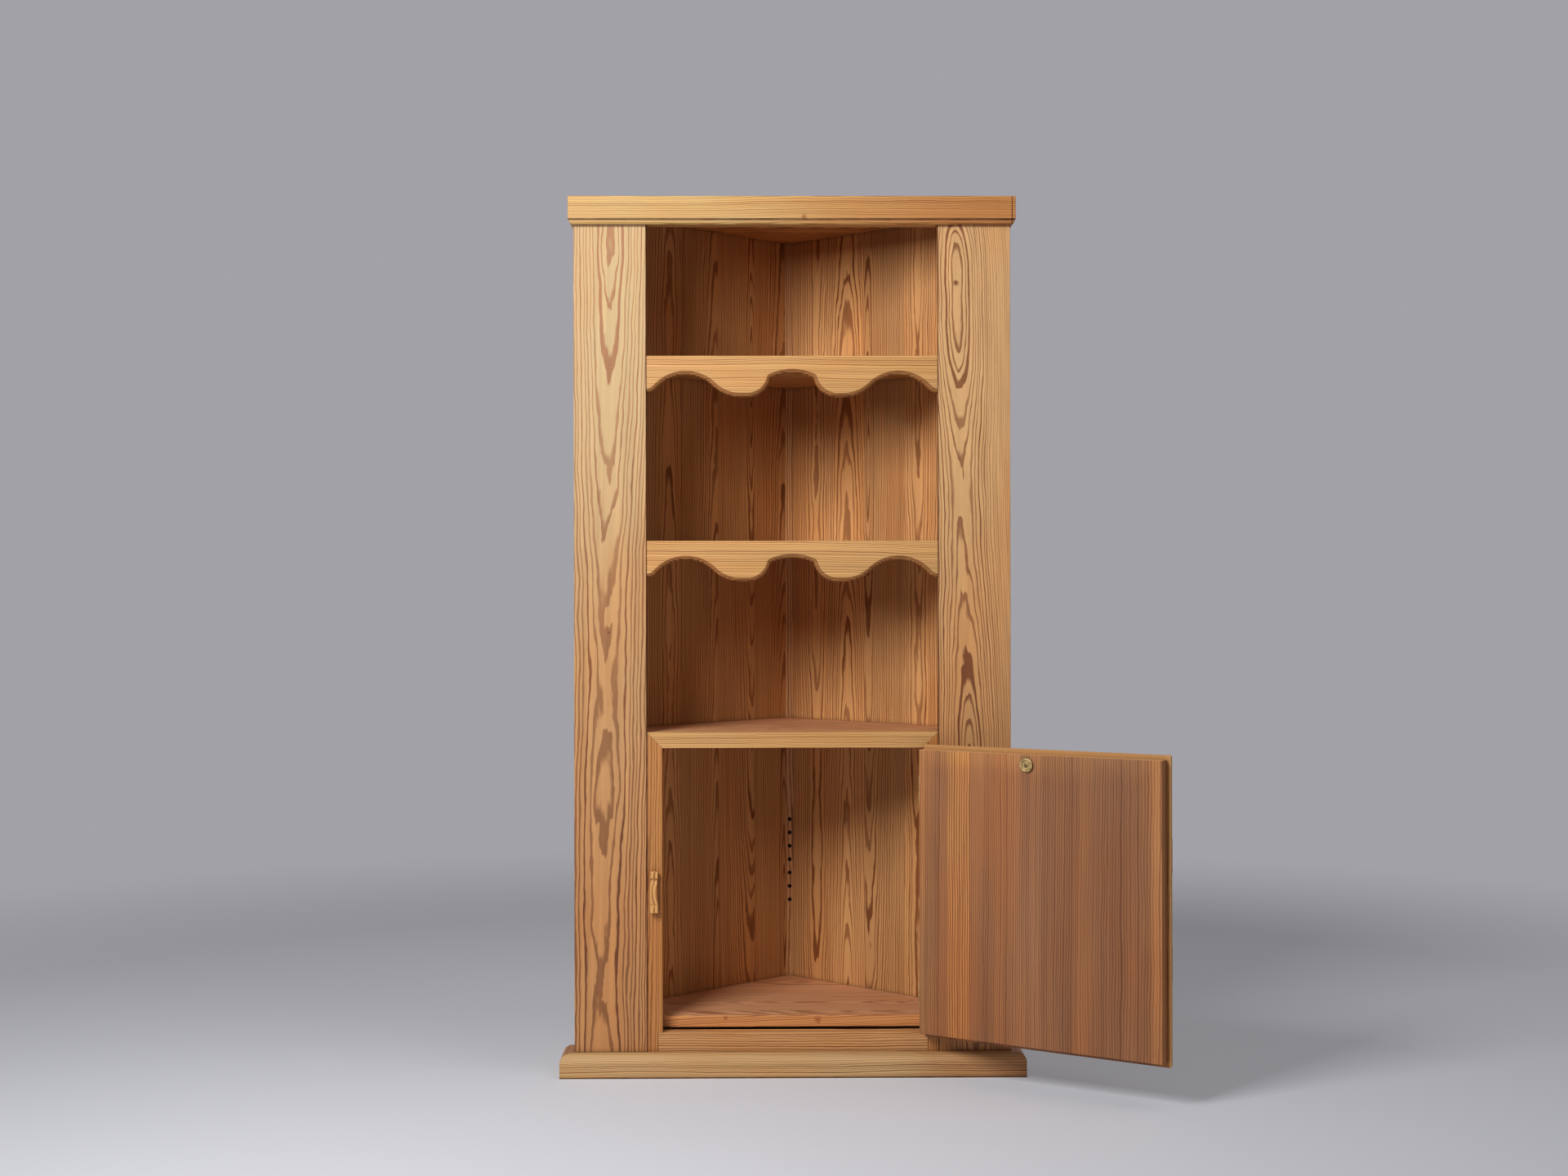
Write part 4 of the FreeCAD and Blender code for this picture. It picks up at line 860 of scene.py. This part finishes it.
def screw_surface(rows=34, steps=120):
    """The plate's screw: a dome, its rise times the root of one less the radius squared, less a
    cross whose two arms slope down to a flat floor."""
    reach, tip, rise, seat, foot = 0.0055, 0.0001, 0.0016, 0.0009, 0.0008
    turn, deep, half, side_slope, arm, end_slope = 0.9, 0.0014, 0.00095, 0.0004, 0.0040, 0.0010
    radius = np.linspace(tip, reach, rows)[:, None]
    angle = np.linspace(0, 2 * np.pi, steps, endpoint=False)[None, :]
    dome = rise * np.sqrt(np.clip(1 - (radius / reach) ** 2, 0, 1)) + 0 * angle
    side, along = radius * np.cos(angle + turn), radius * np.sin(angle + turn)
    arms = [np.clip((half - abs(a)) / side_slope, 0, 1) * np.clip((arm - abs(b)) / end_slope, 0, 1)
            for a, b in ((side, along), (along, side))]
    bottom = np.full((1, steps), foot)
    height = np.concatenate([seat + dome - deep * np.maximum(*arms), bottom, bottom])
    return on_plate(np.concatenate([radius, [[reach]], [[tip]]]), angle, height)


def rounded_sections(x0, x1, y0, y1, z, power, steps=40):
    """Sections like rounded rectangles, one for each level: the sine and cosine to the power
    of two over a number, stretched between the two sides and the back and front."""
    angle = np.linspace(0, 2 * np.pi, steps, endpoint=False)
    wide, deep = (np.sign(f) * abs(f) ** (2 / power) for f in (np.cos(angle), np.sin(angle)))
    x0, x1, y0, y1, z = (np.asarray(value)[:, None] for value in (x0, x1, y0, y1, z))
    return np.stack(np.broadcast_arrays((x0 + x1) / 2 + (x1 - x0) / 2 * wide,
                                        (y0 + y1) / 2 + (y1 - y0) / 2 * deep, z), axis=-1)


def rounded_ends(z, low, high, radius):
    """How far a piece's sides stand in near its two ends, so that they end in quarter circles."""
    left = np.clip(radius - np.minimum(z - low, high - z), 0, radius)
    return radius - np.sqrt(radius ** 2 - left ** 2)


def levels(low, high, rows):
    """Levels from low to high that lie closer together towards both ends."""
    return (low + high) / 2 + (high - low) / 2 * np.sin(np.linspace(-np.pi / 2, np.pi / 2, rows))


def button_surface(low, high, rows=150):
    """The turn button: raised ends, a groove cut behind each with a smooth slope, and a middle
    crowned by a parabola that is a little wider towards its foot."""
    middle, groove, slope = 0.0265, 0.0268, 0.0042
    crown, fall, hollow, rise, bend = 0.0088, 0.0022, 0.0062, 0.0048, 0.0016
    z = levels(low.z, high.z, rows)
    off = z - (low.z + high.z) / 2
    climb = np.clip((abs(off) - groove) / slope, 0, 1)
    ends = hollow + rise * climb ** 2 * (3 - 2 * climb)
    front = np.where(abs(off) > middle, ends, crown - fall * (off / middle) ** 2)
    end = rounded_ends(z, low.z, high.z, bend)
    narrow = np.where(abs(off) < groove, 0.0010 + 0.0006 * off / middle, 0.0002) + end
    return rounded_sections(low.x + narrow, high.x - narrow, high.y - front + end,
                            np.full(rows, high.y), z, 7)


def pull_surface(rows=180):
    """The carved pull, laid out on the shut door: two feet joined by a grip that narrows by a
    parabola and stands clear of the door behind a hollow with rounded ends."""
    low, high, foot, gap, bend = 0.2505, 0.5455, 0.065, 0.014, 0.005
    middle, half, front, back = HINGE_PIN.x - 0.548, 0.015, -0.029, -0.003
    thinner_left, thinner_right, thinner_front = 0.008, 0.005, 0.002
    z = levels(low, high, rows)
    off = abs(z - (low + high) / 2)
    grip = (high - low) / 2 - foot
    waist = np.clip(1 - (off / grip) ** 2, 0, 1) ** 1.3
    cove = np.clip((off - grip + gap) / gap, 0, 1)
    hollow = gap * np.where(off < grip, np.sqrt(1 - cove ** 2), 0)
    end = rounded_ends(z, low, high, bend)
    left, right = half - thinner_left * waist - end, half - thinner_right * waist - end
    return hang(rounded_sections(middle - left, middle + right, front + end + thinner_front * waist,
                                 back - hollow, z, 5))


# Operators

class CABINET_OT_groups(bpy.types.Operator):
    """Builds the shared effects: staves, year rings, knots, dark lines, pine colour, and the wear, grime
    and painted highlight and shade of edges and corners
    """
    bl_idname = "cabinet.groups"
    bl_label = "Shared effects"

    def execute(self, context):
        for name, (inputs, outputs, steps) in EFFECTS.items():
            make_group(name, inputs, outputs, steps)
        return {"FINISHED"}


def coat_node(node, material):
    """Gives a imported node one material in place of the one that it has."""
    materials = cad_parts[node].data.materials
    materials.clear()
    materials.append(material)


class CABINET_OT_boards(bpy.types.Operator):
    """Gives every board of the carcase, frame and door its own pine"""
    bl_idname = "cabinet.boards"
    bl_label = "Pine boards"

    def execute(self, context):
        for board in LOGS:
            coat_node(board, pine(board))
        return {"FINISHED"}


class CABINET_OT_brass(bpy.types.Operator):
    """Gives the hinges, their screws and the catch plate old brass"""
    bl_idname = "cabinet.brass"
    bl_label = "Brass fittings"

    def execute(self, context):
        looks = context.scene.cabinet_finishes
        metal = brass("old_brass", looks.brass, looks.tarnish)
        brass("dark_brass", looks.tarnish, looks.dark_brass)
        for node in BRASS_NODES:
            coat_node(node, metal)
        return {"FINISHED"}


class CABINET_OT_aprons(bpy.types.Operator):
    """Shapes the two aprons with their rounded scalloped edges"""
    bl_idname = "cabinet.aprons"
    bl_label = "Shaped aprons"

    def execute(self, context):
        for board in ("upper_apron", "lower_apron"):
            low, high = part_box(board)
            points, cut = apron_surface(high.z, high.x, high.y - low.y, context.scene.cabinet_aprons)
            material = bpy.data.materials[f"{board}_pine"]
            lay_surface(f"{board}_shaped", points, material, "cabinet", "pine", board, cut=cut)
        return {"FINISHED"}


class CABINET_OT_plate(bpy.types.Operator):
    """Turns the round catch plate and shapes its cross-recessed screw"""
    bl_idname = "cabinet.plate"
    bl_label = "Catch plate"

    def execute(self, context):
        metal = bpy.data.materials["old_brass"]
        lay_surface("catch_plate_turned", plate_surface(), metal, "door", "brass", "catch_plate")
        dark = bpy.data.materials["dark_brass"]
        lay_surface("catch_plate_screw_head", screw_surface(), dark, "door", "brass",
                    "catch_plate_screw")
        return {"FINISHED"}


class CABINET_OT_carvings(bpy.types.Operator):
    """Carves the turn button and the door pull"""
    bl_idname = "cabinet.carvings"
    bl_label = "Carved button and pull"

    def execute(self, context):
        points = button_surface(*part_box("turn_button"))
        lay_surface("turn_button_carved", points, bpy.data.materials["turn_button_pine"],
                    "turn_button", "pine", "turn_button")
        lay_surface("door_pull_carved", pull_surface(), bpy.data.materials["door_pull_pine"],
                    "door", "pine", "door_pull")
        return {"FINISHED"}


class CABINET_OT_studio(bpy.types.Operator):
    """Lays the floor, sets the lamps and the light all round, and places the camera"""
    bl_idname = "cabinet.studio"
    bl_label = "Studio"

    def execute(self, context):
        studio = context.scene.cabinet_studio
        lay_floor(studio)
        light_world(studio)
        set_lamp("key_lamp", (-1.40, -2.0, 2.25), (0.0, 0.1, 1.0), 1.1, studio.key_power)
        set_lamp("top_lamp", (1.6, -0.9, 3.4), (0.9, 0.0, 0.0), 2.2, studio.top_power)
        place_camera(studio)
        context.scene.view_settings.view_transform = "Standard"
        return {"FINISHED"}


def seen(bench):
    """1 for rays by which the camera sees a thing straight, in a reflection or through glass."""
    rays = bench.node("LightPath").outputs
    names = ("Is Camera Ray", "Is Glossy Ray", "Is Transmission Ray")
    straight, mirrored, through = (Wire(bench, rays[name]) for name in names)
    return bench.maths("MAXIMUM", straight, bench.maths("MAXIMUM", mirrored, through))


def floor_material(studio):
    """A pale floor that keeps the object's shadow and fades, as the camera sees it, into the
    colour of the wall behind. A share of that colour lifts the shadows too, but not those
    under the cabinet."""
    under, fade_start, fade_end = (0.0, 0.42, 0.0), 1.3, 4.2
    material, bench, shader = new_material("studio_floor")
    place = bench.add("TexCoord", output="Object")
    mottle = bench.noise(place, 1.3, 3.0)
    shade = bench.mix(mottle, studio.floor, tuple(part * 0.96 for part in studio.floor))
    bench.join(shade, shader.inputs["Base Color"])
    shader.inputs["Roughness"].default_value = 0.8
    x, y, _ = bench.split(place)
    flat = bench.combine(x, y, 0.0)
    far = bench.span(bench.length(flat), fade_start, fade_end)
    lift = bench.span(bench.length(flat - under), 0.13, 0.15) * studio.lift
    share = bench.maths("MAXIMUM", far, lift) * seen(bench)
    glow = bench.add("Emission", {"Color": studio.wall, "Strength": 1.0})
    lit = Wire(bench, shader.outputs[0])
    blend = bench.add("MixShader", {0: share, 1: lit, 2: glow})
    bench.join(blend, material.node_tree.nodes["Material Output"].inputs["Surface"])
    return material


def lay_floor(studio, rings=24, steps=96):
    """A round floor of 14 m radius: rings of points at radius times cosine and sine."""
    radius = np.concatenate([[0.0], np.geomspace(0.5, 14.0, rings)])
    angle = -np.linspace(0, 2 * np.pi, steps, endpoint=False)
    points = np.stack([np.outer(radius, np.cos(angle)), np.outer(radius, np.sin(angle)),
                       np.zeros((len(radius), steps))], axis=-1)
    mesh = bpy.data.meshes.new("studio_floor")
    mesh.from_pydata(points.reshape(-1, 3).tolist(), [], tube_faces(len(radius), steps))
    mesh.materials.append(floor_material(studio))
    floor = link("studio_floor", mesh)


def light_world(studio):
    """Even soft light, with the wall's colour where the camera or a reflection sees it."""
    world = bpy.context.scene.world or bpy.data.worlds.new("studio")
    bpy.context.scene.world = world
    world.use_nodes = True
    world.node_tree.nodes.clear()
    bench = Bench(world.node_tree)
    fill = bench.add("Background", {"Color": (1.0, 1.0, 1.0), "Strength": studio.fill})
    wall = bench.add("Background", {"Color": studio.wall, "Strength": 1.0})
    blend = bench.add("MixShader", {0: seen(bench), 1: fill, 2: wall})
    bench.node("OutputWorld", {"Surface": blend})


def set_lamp(name, place, target, size, power):
    """A square soft lamp at a place, turned to face its target."""
    lamp = bpy.data.lights.new(name, "AREA")
    lamp.shape, lamp.size, lamp.energy = "SQUARE", size, power
    holder = link(name, lamp)
    holder.location = place
    holder.rotation_euler = (Vector(target) - Vector(place)).to_track_quat("-Z", "Y").to_euler()


def place_camera(studio):
    """The camera at the photograph's angle: level, a hair off square, and turned by a
    thousandth or so about its own line of sight."""
    place, aim, roll = (-0.0696, -4.585, 1.0482), (0.0112, 0.9999, 0.0), 0.0016
    camera = bpy.data.cameras.new("camera")
    camera.lens, camera.sensor_width, camera.clip_end = studio.lens, 36.0, 60.0
    forward = Vector(aim).normalized()
    right, up = Vector((forward.y, -forward.x, 0.0)), Vector((0.0, 0.0, 1.0))
    axes = Matrix((right - roll * up, up + roll * right, -forward)).transposed()
    holder = link("camera", camera)
    holder.matrix_world = Matrix.Translation(place) @ axes.to_4x4()
    bpy.context.scene.camera = holder


STEPS = (CABINET_OT_groups, CABINET_OT_boards, CABINET_OT_brass, CABINET_OT_aprons,
         CABINET_OT_plate, CABINET_OT_carvings, CABINET_OT_studio)
SETTINGS = {"cabinet_finishes": CabinetFinishes, "cabinet_aprons": CabinetAprons,
            "cabinet_studio": CabinetStudio}


class CABINET_PT_sidebar(bpy.types.Panel):
    """Lists the steps and the sizes and colours behind them"""
    bl_idname = "CABINET_PT_sidebar"
    bl_label = "Corner cabinet"
    bl_space_type = "VIEW_3D"
    bl_region_type = "UI"
    bl_category = "Cabinet"

    def draw(self, context):
        for step in STEPS:
            self.layout.operator(step.bl_idname)
        for name, kind in SETTINGS.items():
            box = self.layout.box()
            for key in kind.__annotations__:
                box.prop(getattr(context.scene, name), key)


def register():
    for kind in (*SETTINGS.values(), *STEPS, CABINET_PT_sidebar):
        bpy.utils.register_class(kind)
    for name, kind in SETTINGS.items():
        setattr(bpy.types.Scene, name, bpy.props.PointerProperty(type=kind))


def unregister():
    for name in SETTINGS:
        delattr(bpy.types.Scene, name)
    for kind in (CABINET_PT_sidebar, *reversed(STEPS), *SETTINGS.values()):
        bpy.utils.unregister_class(kind)


def main():
    register()
    for step in STEPS:
        part, name = step.bl_idname.split(".")
        getattr(getattr(bpy.ops, part), name)()


if __name__ == "__main__":
    main()
